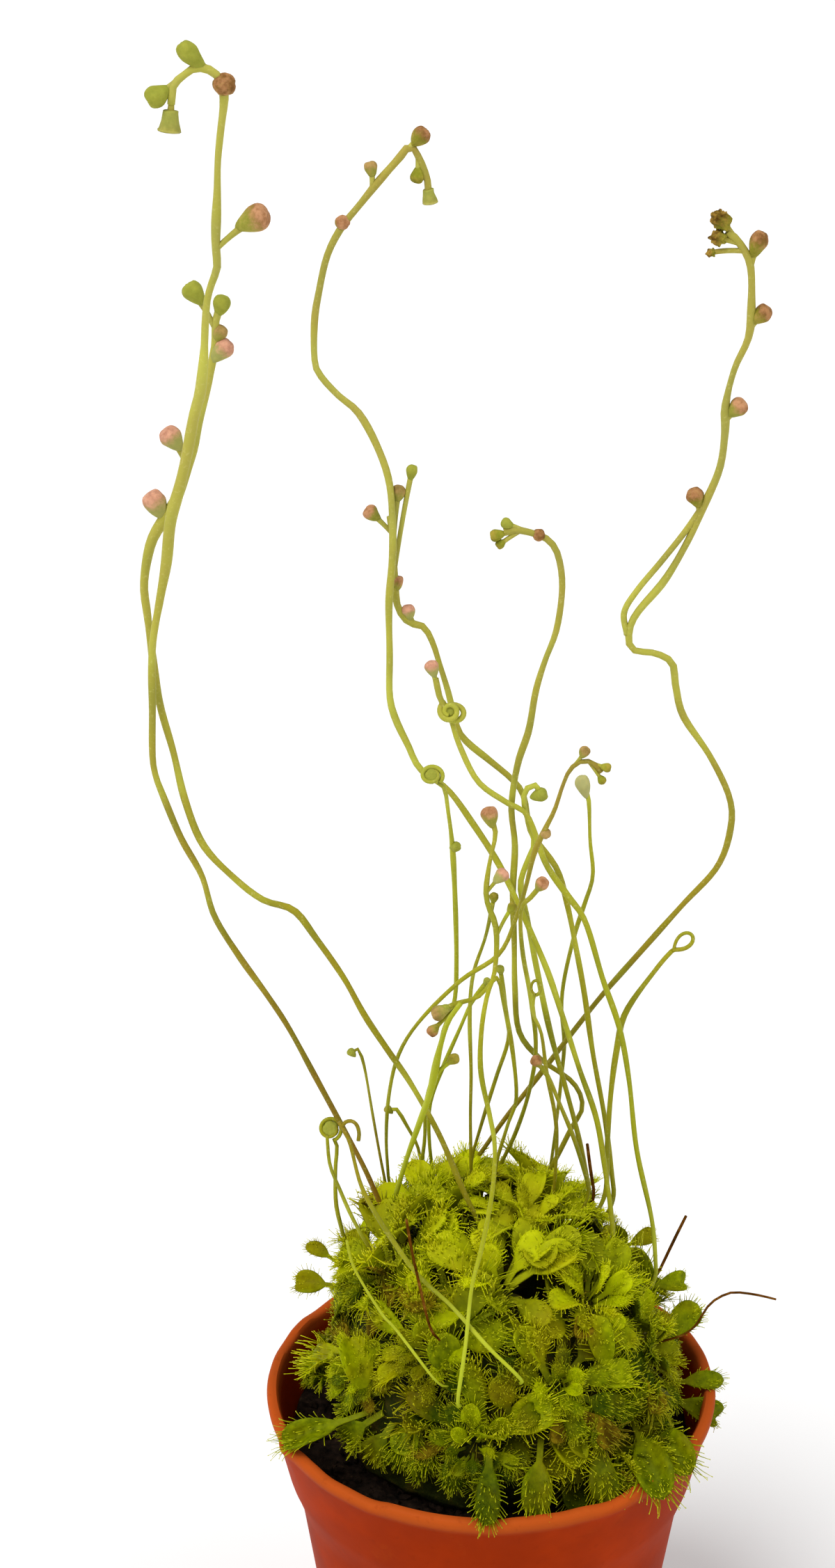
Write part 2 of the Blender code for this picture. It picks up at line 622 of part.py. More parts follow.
def main():
    for obj in list(bpy.data.objects):
        bpy.data.objects.remove(obj)
    parts = bpy.data.collections.new("sundew_plant")
    cutters = bpy.data.collections.new("cutters")
    for collection in (parts, cutters):
        bpy.context.scene.collection.children.link(collection)
    terracotta = surface("terracotta_plastic", (0.42, 0.075, 0.012), 0.45)
    peat = surface("peat", (0.03, 0.022, 0.016), 0.95)
    spent = surface("spent_leaves", (0.09, 0.075, 0.015), 0.85)
    leaf = surface("leaf", (0.25, 0.36, 0.01), 0.5)
    stem = surface("stem", (0.4, 0.42, 0.08), 0.5)
    dry = surface("dry_stalk", (0.16, 0.06, 0.03), 0.7)
    pot = make_pot(parts, cutters, terracotta)
    soil = make_peat(parts, peat)
    cushion = make_cushion(parts, spent)
    rosettes = make_rosettes(parts, leaf)
    for obj in (pot, soil, cushion):
        obj.data.shade_smooth()
    bpy.context.view_layer.update()
    mound = mound_surface([pot, soil, cushion] + rosettes)
    make_stems(parts, cutters, mound, {"stem": stem, "dry": dry})


main()
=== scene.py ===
import math
import random

import bmesh
import bpy
import numpy as np
from bpy.props import FloatProperty, FloatVectorProperty, IntProperty, PointerProperty
from mathutils import Matrix, Quaternion, Vector, noise


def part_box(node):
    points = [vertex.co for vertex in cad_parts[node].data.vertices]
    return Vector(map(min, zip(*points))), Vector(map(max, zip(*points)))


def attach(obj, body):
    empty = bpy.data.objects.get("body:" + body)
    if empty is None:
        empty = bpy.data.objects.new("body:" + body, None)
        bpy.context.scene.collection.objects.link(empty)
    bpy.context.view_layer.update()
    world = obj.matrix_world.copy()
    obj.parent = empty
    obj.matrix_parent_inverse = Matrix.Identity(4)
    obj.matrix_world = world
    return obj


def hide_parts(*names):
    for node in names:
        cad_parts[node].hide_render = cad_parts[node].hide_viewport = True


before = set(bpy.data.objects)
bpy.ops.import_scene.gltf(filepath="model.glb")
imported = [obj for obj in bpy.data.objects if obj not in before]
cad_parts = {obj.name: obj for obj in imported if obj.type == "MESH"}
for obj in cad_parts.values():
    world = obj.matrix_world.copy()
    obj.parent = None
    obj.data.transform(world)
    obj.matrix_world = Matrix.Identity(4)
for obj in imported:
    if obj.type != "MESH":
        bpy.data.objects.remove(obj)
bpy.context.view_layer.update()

bl_info = {
    "name": "Potted sundew",
    "version": (1, 0, 0),
    "blender": (4, 5, 0),
    "location": "3D View > Sidebar > Sundew",
    "description": "Models a clump of sundews with their flower stems in a nursery pot",
    "category": "Add Mesh",
}

MM = 0.001
UP = Vector((0.0, 0.0, 1.0))
FULL_TURN = 2 * math.pi
GOLDEN_ANGLE = math.pi * (3 - math.sqrt(5))

POT_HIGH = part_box("pot")[1]
RIM_RADIUS = POT_HIGH.x
RIM_HEIGHT = POT_HIGH.z
RIM_MIDDLE = UP * RIM_HEIGHT
CUSHION_LOW, CUSHION_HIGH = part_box("leaf_cushion")
CUSHION_RADIUS = CUSHION_HIGH.x
CUSHION_RISE = CUSHION_HIGH.z - RIM_HEIGHT
PEAT_LOW, PEAT_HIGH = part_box("peat")

# The photograph's viewpoint. Stem routes and single leaves are given as photograph pixels in a
# 1200 x 2253 frame, each on the upright plane at its depth behind the pot's middle. The viewing distance
# to the stems is in metres.
EYE = Vector((-9.8 * MM, -330.0 * MM, 295.0 * MM))
VIEW_DOWN = math.radians(24.7)
AHEAD = Vector((0.0, math.cos(VIEW_DOWN), -math.sin(VIEW_DOWN)))
VIEW_UP = Vector((0.0, math.sin(VIEW_DOWN), math.cos(VIEW_DOWN)))
FRAME_WIDTH, FRAME_HEIGHT = 1200, 2253
FOCAL_PIXELS = 4280.0
VIEWING_DISTANCE = 0.37
PIXELS_PER_METRE = FOCAL_PIXELS / VIEWING_DISTANCE
SENSOR = 36.0

# The pot's outline in millimetres: the foot as (out from the base's edge, height), inside and outside,
# and the wall as (in from the rim's edge, down from its top), up the inside, over the lip and down again
BASE_RADIUS = 20.2 * MM
FLOOR_THICKNESS = 1.4
FOOT_INSIDE = ((-2.6, FLOOR_THICKNESS), (-1.4, 1.9), (-0.9, 3.0))
INNER_WALL = ((5.6, 17.2), (5.2, 15.6), (3.9, 11.6), (3.6, 10.4), (1.6, 0.9))
LIP = ((1.5, 0.4), (1.25, 0.08), (0.85, 0.0), (0.45, 0.05), (0.12, 0.3), (0.0, 0.75), (0.1, 1.5), (0.38, 1.9))
COLLAR = ((0.6, 2.5), (1.4, 6.2), (2.5, 11.2))
SHOULDER = ((2.75, 12.1), (3.1, 13.0), (4.1, 15.9), (4.35, 17.0), (4.6, 18.6))
FOOT_OUTSIDE = ((0.1, 1.4), (-0.15, 0.5), (-0.8, 0.0), (-2.2, 0.0))

# From the wave's foot up the pot is out of true, with dips in its rim, and a small moulding tab stands out
# at one bearing
WAVE_FOOT = 30 * MM
RIM_DIP = 0.3 * MM
TAB_BEARING = math.radians(-154)
TAB_SPREAD = 0.045
TAB_SIZE = 0.8 * MM
TAB_FOOT = 51 * MM

DRAIN_HOLES = 5
DRAIN_CIRCLE = 12.5 * MM
DRAIN_RADIUS = 1.7 * MM

# The growing medium lies a little below the CAD's level, with crumbs of these radii in millimetres on it
PEAT_DIP = 0.8 * MM
PEAT_LUMPS = 0.9 * MM
CRUMB_COUNT = 420
CRUMB_SIZES = (0.25, 0.75)

# Flower stems, as the CAD lays them: stems that would touch are pushed apart, round by round
STEM_STEP = 6.0 * MM
STEM_CLEARANCE = 0.45 * MM
SETTLE_ROUNDS = 90
SETTLED = 0.02 * MM
SETTLE_SHARE = 0.55
SETTLE_SPREAD = (0.12, 0.23, 0.3, 0.23, 0.12)

# How finely stems are modelled, and how each one's tail runs on into the leaves
CURVE_STEPS = 12
FINE_STEP = 1.1 * MM
DEPTH_SMOOTHING = 6
TAIL_STEPS = 8
TAIL_STEP = 0.8 * MM
FINE_SIDES = 8

# Material slots of a stem's piece, and what its buds' vertices record
STEM_SLOT = 0
BUD_SLOT = 1
BUD_LAYERS = ("rise", "pink", "brown", "pale")

# Each route runs from the stem's tip down to where it leaves the leaves.
# depth: millimetres behind the pot's middle at the tip and at the foot; width: the stem in millimetres.
# tone: brown at 1, green at 0 and fresh lime below, at the tip, in the middle and at the foot.
# buds: photograph pixel, width in millimetres, length over width, kind.
# swell: between these heights in millimetres the stem is so many times as thick.
# strands: routes of second strands that run beside the stem and grow back into it.
STEMS = {
    "scape_tall_tan": {
        "route": [(246, 150), (249, 122), (260, 112), (277, 99), (298, 99), (318, 116), (322, 143),
                  (317, 189), (313, 232), (312, 281), (310, 344), (312, 384), (306, 402), (298, 430),
                  (295, 465), (293, 511), (288, 562), (279, 597), (269, 651), (258, 700), (245, 749),
                  (239, 809), (229, 866), (219, 930), (219, 1016), (219, 1082), (223, 1112),
                  (233, 1140), (260, 1204), (290, 1258), (308, 1316), (343, 1373), (384, 1430),
                  (415, 1477), (451, 1543), (484, 1604), (522, 1675), (553, 1744), (579, 1798)],
        "depth": (-9, 3), "width": 0.95, "tone": (0.1, 0.3, 0.95), "swell": (167, 200, 1.45),
        "buds": [(244, 176, 2.7, 1.0, "bell"), (272, 77, 2.4, 1.35, "green"),
                 (224, 138, 2.6, 1.0, "green"), (322, 122, 2.7, 1.0, "brown"),
                 (367, 314, 3.2, 1.12, "rose")],
    },
    "scape_tall_green": {
        "route": [(318, 436), (310, 462), (309, 494), (303, 530), (294, 572), (284, 612), (275, 651),
                  (262, 697), (245, 733), (222, 768), (212, 800), (207, 843), (212, 885), (223, 973),
                  (232, 1021), (249, 1080), (266, 1150), (292, 1214), (336, 1261), (378, 1293),
                  (422, 1308), (454, 1348), (494, 1405), (524, 1459), (558, 1510), (591, 1558),
                  (632, 1632), (665, 1709), (688, 1757)],
        "depth": (0, -2), "width": 0.95, "tone": (0.15, 0.3, 0.35), "swell": (165, 195, 1.35),
        "buds": [(278, 419, 2.6, 1.0, "green"), (318, 436, 2.2, 1.0, "green"),
                 (316, 478, 1.9, 1.0, "tan"), (320, 502, 2.6, 1.1, "pink"),
                 (246, 628, 2.8, 1.0, "pink"), (223, 722, 2.9, 1.1, "pink")],
    },
    "scape_drooping": {
        "route": [(616, 285), (614, 258), (604, 231), (590, 210), (572, 229), (543, 262), (518, 293),
                  (490, 328), (470, 368), (458, 421), (452, 461), (452, 516), (460, 539), (486, 568),
                  (515, 593), (541, 639), (559, 691), (564, 751), (564, 803), (559, 866), (560, 940),
                  (560, 999), (568, 1032), (586, 1070), (604, 1105), (644, 1135), (680, 1184),
                  (713, 1235), (736, 1280), (761, 1335), (787, 1396), (809, 1462), (833, 1537),
                  (857, 1607), (870, 1683), (880, 1760), (881, 1820), (876, 1877)],
        "depth": (15, -4), "width": 0.9, "tone": (0.6, 0.1, 0.05),
        "buds": [(617, 283, 2.0, 1.0, "bell"), (605, 195, 2.3, 1.0, "brown"),
                 (600, 253, 1.8, 1.0, "olive"), (533, 241, 1.7, 1.0, "tan"),
                 (492, 320, 1.9, 1.0, "rose")],
    },
    "scape_beaded": {
        "route": [(560, 742), (565, 775), (567, 812), (568, 850), (573, 875), (588, 894), (609, 901),
                  (622, 924), (631, 952), (644, 994), (657, 1045), (671, 1066), (704, 1093),
                  (737, 1121), (753, 1145), (764, 1197), (800, 1248), (815, 1299), (828, 1363),
                  (840, 1429), (852, 1513), (870, 1612), (882, 1709)],
        "depth": (9, 5), "width": 0.85, "tone": (0.35, 0.2, 0.2),
        "buds": [(592, 677, 1.5, 1.2, "green"), (572, 707, 1.9, 1.0, "tan"),
                 (533, 737, 2.0, 1.0, "rose"), (571, 837, 1.5, 1.3, "rose"),
                 (587, 878, 1.8, 1.0, "pink")],
    },
    "scape_knotted": {
        "route": [(626, 975), (633, 1005), (646, 1028), (660, 1070), (687, 1123), (728, 1153),
                  (758, 1172), (784, 1240), (815, 1286), (841, 1324), (866, 1406), (890, 1476),
                  (904, 1552), (915, 1652), (937, 1754), (943, 1826)],
        "depth": (2, 0), "width": 0.8, "tone": (0.2, -0.1, -0.1),
        "buds": [(621, 959, 1.9, 1.0, "pink"), (646, 1022, 3.3, 1.0, "knot")],
    },
    "scape_middle_hook": {
        "route": [(724, 764), (739, 761), (765, 766), (788, 776), (802, 798), (808, 843), (800, 904),
                  (783, 950), (770, 993), (760, 1049), (744, 1098), (735, 1159), (740, 1215),
                  (737, 1280), (739, 1355), (740, 1419), (746, 1482), (776, 1521), (823, 1555),
                  (837, 1590), (820, 1623), (792, 1678), (772, 1706)],
        "depth": (-3, 8), "width": 0.85, "tone": (0.4, 0.2, 0.3),
        "buds": [(713, 769, 1.6, 1.0, "olive"), (719, 782, 1.2, 1.0, "olive"),
                 (728, 752, 1.4, 1.0, "green"), (774, 769, 1.6, 1.0, "brown")],
    },
    "scape_tall_right": {
        "route": [(1045, 333), (1061, 347), (1078, 379), (1080, 435), (1076, 484), (1056, 529),
                  (1043, 580), (1042, 620), (1034, 674), (1008, 734), (987, 780), (955, 834),
                  (916, 880), (904, 908), (909, 933), (943, 939), (966, 953), (971, 985), (982, 1029),
                  (1020, 1086), (1048, 1145), (1050, 1190), (1031, 1245), (980, 1301), (920, 1368),
                  (866, 1429), (823, 1483), (771, 1550), (726, 1607), (687, 1662), (665, 1690)],
        "depth": (-12, 15), "width": 0.9, "tone": (0.35, 0.35, 0.65),
        "strands": [[(1016, 718), (986, 762), (951, 806), (916, 848), (897, 880), (901, 912)]],
        "buds": [(1037, 317, 2.2, 1.2, "dry"), (1032, 342, 1.9, 1.0, "dry"),
                 (1022, 363, 1.1, 1.0, "dry"), (1090, 348, 2.2, 1.25, "brown"),
                 (1096, 451, 2.1, 1.1, "brown"), (1061, 585, 2.3, 1.0, "rose"),
                 (999, 713, 2.2, 1.0, "brown")],
    },
    "scape_small_cyme": {
        "route": [(864, 1110), (856, 1099), (838, 1093), (820, 1105), (809, 1128), (797, 1164),
                  (784, 1190), (768, 1225), (756, 1273), (744, 1312), (718, 1370), (662, 1409),
                  (604, 1466), (573, 1515), (559, 1573), (555, 1635), (558, 1690)],
        "depth": (-13, 10), "width": 0.6, "tone": (0.7, 0.1, 0.2),
        "buds": [(840, 1080, 1.4, 1.0, "tan"), (872, 1103, 1.2, 1.0, "olive"),
                 (865, 1121, 1.1, 1.0, "olive"), (784, 1198, 1.4, 1.0, "tan")],
    },
    "scape_grey_bud": {
        "route": [(838, 1127), (846, 1150), (848, 1207), (852, 1258), (840, 1299), (826, 1342),
                  (811, 1406), (807, 1450), (811, 1497), (807, 1547), (799, 1618), (791, 1680)],
        "depth": (13, 11), "width": 0.6, "tone": (0.0, 0.1, 0.3),
        "buds": [(838, 1127, 2.1, 1.3, "grey")],
    },
    "scape_green_hook": {
        "route": [(777, 1138), (768, 1128), (755, 1136), (753, 1155), (760, 1185), (768, 1212),
                  (757, 1240), (748, 1273), (758, 1322), (772, 1395), (790, 1480), (812, 1560),
                  (833, 1640), (849, 1722)],
        "depth": (1, 8), "width": 0.8, "tone": (0.0, 0.1, 0.3),
        "buds": [(777, 1142, 1.9, 1.0, "green")],
    },
    "scape_pink_bud": {
        "route": [(704, 1171), (712, 1198), (703, 1243), (699, 1290), (713, 1335), (711, 1395),
                  (700, 1431), (692, 1480), (691, 1540), (704, 1604), (711, 1647), (708, 1708),
                  (694, 1786), (678, 1850), (669, 1933), (659, 2002)],
        "depth": (-6, -24), "width": 0.65, "tone": (0.2, 0.05, -0.6),
        "buds": [(704, 1171, 2.3, 1.0, "rose"), (721, 1258, 1.9, 1.0, "pink"),
                 (736, 1304, 1.3, 1.0, "olive")],
    },
    "scape_side_bud": {
        "route": [(779, 1270), (764, 1288), (750, 1303), (748, 1330), (752, 1375), (764, 1440),
                  (770, 1508), (760, 1570), (742, 1625), (722, 1668)],
        "depth": (-10, 12), "width": 0.65, "tone": (0.2, 0.1, 0.3),
        "buds": [(779, 1270, 1.8, 1.0, "rose")],
    },
    "scape_coil": {
        "route": [(620, 1114), (638, 1132), (644, 1166), (650, 1215), (654, 1290), (656, 1380),
                  (653, 1439), (638, 1480), (628, 1528), (612, 1584), (610, 1640), (600, 1705)],
        "depth": (-3, 12), "width": 0.65, "tone": (-0.1, -0.15, 0.1),
        "buds": [(620, 1114, 3.4, 0.86, "coil"), (654, 1217, 1.4, 1.8, "green")],
    },
    "scape_loop_right": {
        "route": [(985, 1352), (966, 1366), (941, 1395), (899, 1455), (886, 1510), (878, 1570),
                  (873, 1640), (872, 1700)],
        "depth": (6, 2), "width": 0.8, "tone": (0.25, 0.15, 0.2),
        "buds": [(985, 1351, 2.7, 1.0, "teardrop")],
    },
    "scape_oval_coil": {
        "route": [(768, 1425), (766, 1455), (778, 1485), (786, 1544), (798, 1604), (800, 1650),
                  (797, 1700)],
        "depth": (-6, 4), "width": 0.55, "tone": (0.3, 0.3, 0.4),
        "buds": [(770, 1419, 1.7, 1.5, "ring")],
    },
    "scape_left_cluster": {
        "route": [(631, 1455), (652, 1443), (688, 1432), (714, 1405), (724, 1440), (737, 1513),
                  (742, 1578), (731, 1612), (716, 1660)],
        "depth": (-8, 6), "width": 0.6, "tone": (0.2, 0.1, 0.3),
        "buds": [(631, 1455, 2.0, 1.1, "tan"), (622, 1481, 1.6, 1.0, "brown"),
                 (640, 1449, 1.2, 1.0, "green")],
    },
    "scape_pale_a": {
        "route": [(662, 1442), (644, 1468), (631, 1510), (619, 1566), (604, 1610), (586, 1660),
                  (570, 1712)],
        "depth": (-15, 4), "width": 0.8, "tone": (-0.2, -0.3, -0.2),
        "buds": [(652, 1522, 1.5, 1.1, "olive")],
    },
    "scape_pale_b": {
        "route": [(700, 1410), (678, 1440), (660, 1480), (638, 1530), (618, 1585), (617, 1640),
                  (624, 1700)],
        "depth": (12, 13), "width": 0.6, "tone": (-0.1, -0.2, 0.1),
        "buds": [(700, 1410, 1.1, 1.0, "green")],
    },
    "scape_thin_vertical": {
        "route": [(710, 1289), (698, 1345), (680, 1400), (675, 1460), (677, 1540), (676, 1604),
                  (677, 1675)],
        "depth": (4, 8), "width": 0.55, "tone": (0.1, 0.2, 0.45),
        "buds": [(710, 1289, 1.3, 1.0, "olive")],
    },
    "scape_thin_mid": {
        "route": [(719, 1393), (726, 1440), (731, 1490), (714, 1545), (698, 1595), (680, 1655)],
        "depth": (-2, 11), "width": 0.55, "tone": (0.1, 0.2, 0.4),
        "buds": [(719, 1393, 1.2, 1.0, "green")],
    },
    "scape_thin_right": {
        "route": [(771, 1525), (788, 1548), (806, 1590), (826, 1639), (845, 1700)],
        "depth": (-9, 2), "width": 0.6, "tone": (0.2, 0.2, 0.3),
        "buds": [(771, 1525, 1.6, 1.0, "brown")],
    },
    "scape_thin_hook": {
        "route": [(505, 1512), (513, 1506), (523, 1530), (536, 1604), (546, 1660), (556, 1710)],
        "depth": (8, 9), "width": 0.42, "tone": (0.3, 0.5, 0.5),
        "buds": [(505, 1512, 1.2, 1.0, "green")],
    },
    "scape_small_hook": {
        "route": [(558, 1594), (570, 1594), (586, 1620), (601, 1650), (609, 1700)],
        "depth": (14, 14), "width": 0.5, "tone": (0.1, 0.2, 0.3),
        "buds": [(558, 1594, 1.2, 1.0, "olive")],
    },
    "scape_left_coil": {
        "route": [(474, 1624), (484, 1645), (482, 1680), (483, 1730), (492, 1770)],
        "depth": (3, 2), "width": 0.6, "tone": (0.05, 0.15, 0.3),
        "buds": [(474, 1622, 3.7, 1.0, "coil")],
    },
    "scape_left_curl": {
        "route": [(470, 1632), (474, 1673), (487, 1706), (504, 1745), (520, 1775)],
        "depth": (-2, -3), "width": 0.55, "tone": (0.15, 0.2, 0.4),
        "buds": [],
    },
    "scape_foreground": {
        "route": [(487, 1612), (502, 1640), (520, 1706), (553, 1765), (600, 1831), (648, 1876),
                  (698, 1932), (735, 1968)],
        "depth": (-9, -25), "width": 0.6, "tone": (0.6, -0.1, -0.6),
        "strands": [[(491, 1619), (497, 1612), (506, 1611), (513, 1617), (516, 1628), (515, 1639)]],
        "buds": [],
    },
    "scape_thin_left": {
        "route": [(498, 1782), (510, 1824), (549, 1888), (568, 1909), (617, 1973)],
        "depth": (-16, -24), "width": 0.4, "tone": (-0.2, -0.3, -0.4),
        "buds": [],
    },
    "dry_stalk_right": {
        "route": [(1115, 1867), (1090, 1861), (1060, 1857), (1042, 1860), (1020, 1874), (1003, 1900)],
        "depth": (-2, -4), "width": 0.36, "tone": (0, 0, 0),
        "buds": [],
    },
    "dry_stalk_back": {
        "route": [(986, 1747), (970, 1779), (948, 1825)],
        "depth": (3, 0), "width": 0.45, "tone": (0, 0, 0),
        "buds": [],
    },
    "dry_stalk_front": {
        "route": [(584, 1752), (590, 1788), (597, 1821), (613, 1890)],
        "depth": (-15, -23), "width": 0.4, "tone": (0, 0, 0),
        "buds": [],
    },
    "dry_stalk_dark": {
        "route": [(844, 1644), (848, 1676), (853, 1708)],
        "depth": (3, 5), "width": 0.5, "tone": (0, 0, 0),
        "buds": [],
    },
}

# Curled tips: how many turns each makes, how much the spiral draws in, and its thickness over the stem's
COIL_KINDS = {
    "coil": (1.35, 0.5, 0.9),
    "ring": (1.0, 0.12, 0.85),
    "knot": (1.4, 0.6, 1.0),
    "teardrop": (1.0, 0.0, 0.75),
}
COIL_STEPS = 26  # for each turn

# Bud colours: how pink, how brown and how pale each kind is
BUD_KINDS = {
    "green": (0.0, 0.05, 0.1),
    "olive": (0.05, 0.45, 0.0),
    "tan": (0.3, 0.5, 0.15),
    "pink": (0.95, 0.15, 0.5),
    "rose": (0.7, 0.4, 0.1),
    "brown": (0.45, 0.75, 0.0),
    "grey": (0.0, 0.1, 0.9),
    "dry": (0.1, 1.0, 0.0),
    "bell": (0.05, 0.1, 0.25),
}

# A sticky hair's rings, at a leaf's margin and on its face: how far along the hair each is, and its width
# over the width of the ring before it
MARGIN_RINGS = ((0.5, 0.8), (0.88, 0.7), (0.97, 2.0))
FACE_RINGS = ((0.55, 0.8), (0.97, 1.3))
HAIR_SIDES = 3

# The hairs' material slot in a leaf's piece, and what its vertices record
HAIR_SLOT = 1
LEAF_LAYERS = ("along", "tint", "dry")

# Leaf patterns are one unit long. The first are sticky all over; the last are broader, with fewer and shorter
# hairs. Each row: how many patterns, the ranges of their width, bend, cupping and hair length, and the number
# of hairs at the margin and on the face.
STICKY_PATTERNS = 16
SMOOTH_PATTERNS = 4
LEAF_PATTERNS = (
    (STICKY_PATTERNS, ((0.34, 0.5), (0.3, 1.3), (-0.1, 0.6), (0.17, 0.25)), (32, 46)),
    (SMOOTH_PATTERNS, ((0.38, 0.5), (0.4, 1.2), (0.0, 0.6), (0.1, 0.15)), (26, 22)),
)
LEAF_THICKNESS = 0.026
COURSE_STEPS = 40
MARGIN_HAIR_RADIUS = 0.0078
FACE_HAIR_RADIUS = 0.0064

# A leaf that would sink into the soil or leave the mound is turned up and shortened, within these limits
LIFT_TRIES = 9
SHORTEST_FITTED = 4 * MM

SKIRT_LEAVES = 44
TUFT_COUNT = 190
TUFT_PATTERNS = 6
TUFT_BRISTLES = 14
BRISTLE_RADIUS = 0.035

# The outline that the leaves' tips keep to, in millimetres above the rim and out from the middle:
# steep on the left, sloping on the right, and spilling over the rim at the front right
MOUND_HEIGHTS = (0, 10, 17, 22.5, 27, 29.5, 30.8)
MOUND_LEFT = (23.4, 22.0, 20.9, 20.0, 18.4, 15.0, 0)
MOUND_RIGHT = (26.2, 25.4, 20.8, 18.4, 16.2, 12.5, 0)
SPILL_BEARING = -44
SPILL_SPREAD = 20
SPILL_REACH = 4.0
SPILL_HEIGHT = 11

# How far the low leaves reach over the soil, in millimetres, at bearings in degrees from +X
SOIL_BEARINGS = (-180, -152, -137, -112, -95, -60, -20, 0, 30, 90, 150, 180)
SOIL_REACH = (23.4, 23.8, 22.2, 21.6, 24.5, 26.0, 26.6, 26.2, 27.0, 26.0, 24.6, 23.4)

# Dark hollows between the crowns at the front: the photograph pixel of each, and its half width and height
HOLLOWS = (((766, 1836), (55, 25)), ((905, 1948), (22, 11)))
HOLLOW_BACK = 10 * MM
HOLLOW_DEPTH = 0.35

# Single leaves that stand apart from their crowns: base pixel, tip pixel, how far in millimetres the tip
# stands off the cushion, blade width in millimetres, tint (partly painted shade) from dark at 0 to lime at 1,
# and leaf pattern
LONE_LEAVES = [
    ((494, 1850), (422, 1838), 5, 3.6, 0.45, 16),
    ((490, 1818), (440, 1780), 5, 2.4, 0.4, 17),
    ((530, 1936), (400, 1946), 7, 4.0, 0.7, 9),
    ((530, 2030), (512, 1938), 6, 4.4, 0.6, 18),
    ((530, 2030), (402, 2072), 11, 3.6, 0.45, 5),
    ((550, 2030), (470, 2078), 6, 4.4, 0.35, 4),
    ((545, 2000), (450, 2022), 5, 4.2, 0.3, 3),
    ((565, 2045), (520, 2106), 5, 4.6, 0.25, 3),
    ((590, 2050), (566, 2124), 4, 4.4, 0.3, 3),
    ((600, 2050), (618, 2134), 4, 4.2, 0.35, 4),
    ((648, 2060), (654, 2146), 5, 4.4, 0.2, 2),
    ((704, 2070), (700, 2178), 11.5, 4.6, 0.2, 2),
    ((778, 2060), (770, 2164), 10.5, 4.2, 0.35, 4),
    ((950, 1990), (1046, 1974), 6, 2.8, 0.5, 17),
    ((950, 2006), (1044, 2032), 8, 3.6, 0.5, 18),
    ((905, 2030), (952, 2146), 11.5, 5.0, 0.4, 5),
    ((915, 2020), (990, 2112), 11.5, 4.6, 0.45, 5),
    ((855, 2050), (872, 2150), 9.5, 4.6, 0.3, 3),
    ((945, 1945), (1002, 1866), 6, 4.4, 0.5, 17),
    ((926, 1852), (990, 1834), 5, 2.8, 0.5, 18),
    ((892, 1795), (944, 1766), 5, 2.6, 0.4, 19),
    ((822, 1884), (804, 1780), 5.5, 3.6, 0.5, 16),
    ((700, 1850), (708, 1750), 6, 4.4, 0.42, 17),
    ((856, 1858), (866, 1766), 6, 5.0, 0.4, 18),
    ((776, 1800), (762, 1712), 5, 5.0, 0.45, 19),
    ((640, 1850), (618, 1768), 5.5, 4.6, 0.35, 4),
    ((930, 1900), (918, 1822), 5, 4.6, 0.35, 4),
    ((790, 1985), (752, 1912), 6, 4.8, 0.5, 6),
    ((876, 1990), (862, 1908), 6, 4.8, 0.55, 7),
    ((660, 1990), (628, 1922), 6, 4.6, 0.4, 5),
    ((774, 1735), (776, 1674), 6, 3.6, 0.45, 16),
    ((826, 1760), (822, 1688), 6, 4.0, 0.45, 17),
    ((620, 1760), (618, 1702), 6, 4.0, 0.45, 18),
    ((690, 1730), (692, 1664), 6, 4.0, 0.5, 19),
    ((700, 2050), (676, 1972), 6, 5.0, 0.45, 2),
    ((735, 2040), (722, 1992), 6, 4.0, 0.3, 9),
    ((560, 1760), (550, 1708), 6, 3.8, 0.5, 16),
]


def photo_colour(red, green, blue):
    """A linear colour from screen values of 0 to 255."""
    values = [value / 255 for value in (red, green, blue)]
    linear = [v / 12.92 if v <= 0.04045 else ((v + 0.055) / 1.055) ** 2.4 for v in values]
    return (*linear, 1.0)


def colour_setting(name, what, *screen):
    return FloatVectorProperty(name=name, description=f"Colour of {what}", subtype="COLOR", size=4,
                               min=0.0, max=1.0, default=photo_colour(*screen))


def length_setting(name, what, size):
    return FloatProperty(name=name, description=what, default=size, unit="LENGTH")


class PotSettings(bpy.types.PropertyGroup):
    colour: colour_setting("Pot colour", "the pot's plastic", 166, 50, 0)
    rim_wave: length_setting("Rim wave", "How far the thin rim is out of true", 0.2 * MM)
    sides: IntProperty(name="Sides", description="Steps round the pot", default=180, min=24, max=360)


class LeafSettings(bpy.types.PropertyGroup):
    per_crown: IntProperty(name="Leaves", description="Leaves in each crown", default=20, min=5, max=60)
    longest: length_setting("Longest leaf", "Length of a crown's outer leaves", 12.2 * MM)
    shortest: length_setting("Shortest leaf", "Length of a crown's inner leaves", 7.6 * MM)
    dark: colour_setting("Dark leaf", "shaded leaves", 40, 58, 0)
    bright: colour_setting("Bright leaf", "young leaves", 180, 191, 0)
    hair: colour_setting("Sticky hair", "the sticky hairs' tips", 222, 218, 40)


class StemSettings(bpy.types.PropertyGroup):
    green: colour_setting("Green stem", "fresh stems", 162, 162, 20)
    brown: colour_setting("Brown stem", "old stems", 128, 74, 16)
    sides: IntProperty(name="Sides", description="Steps round a stem", default=10, min=5, max=24)


class StageSettings(bpy.types.PropertyGroup):
    floor_width: length_setting("Floor", "Width of the floor", 9.0)
    key: FloatProperty(name="Key light", description="Strength of the soft key light", default=2.3)
    fill: FloatProperty(name="Fill light", description="Strength of the soft fill light", default=0.7)
    sky: FloatProperty(name="Surround", description="Strength of the white surround", default=0.5)


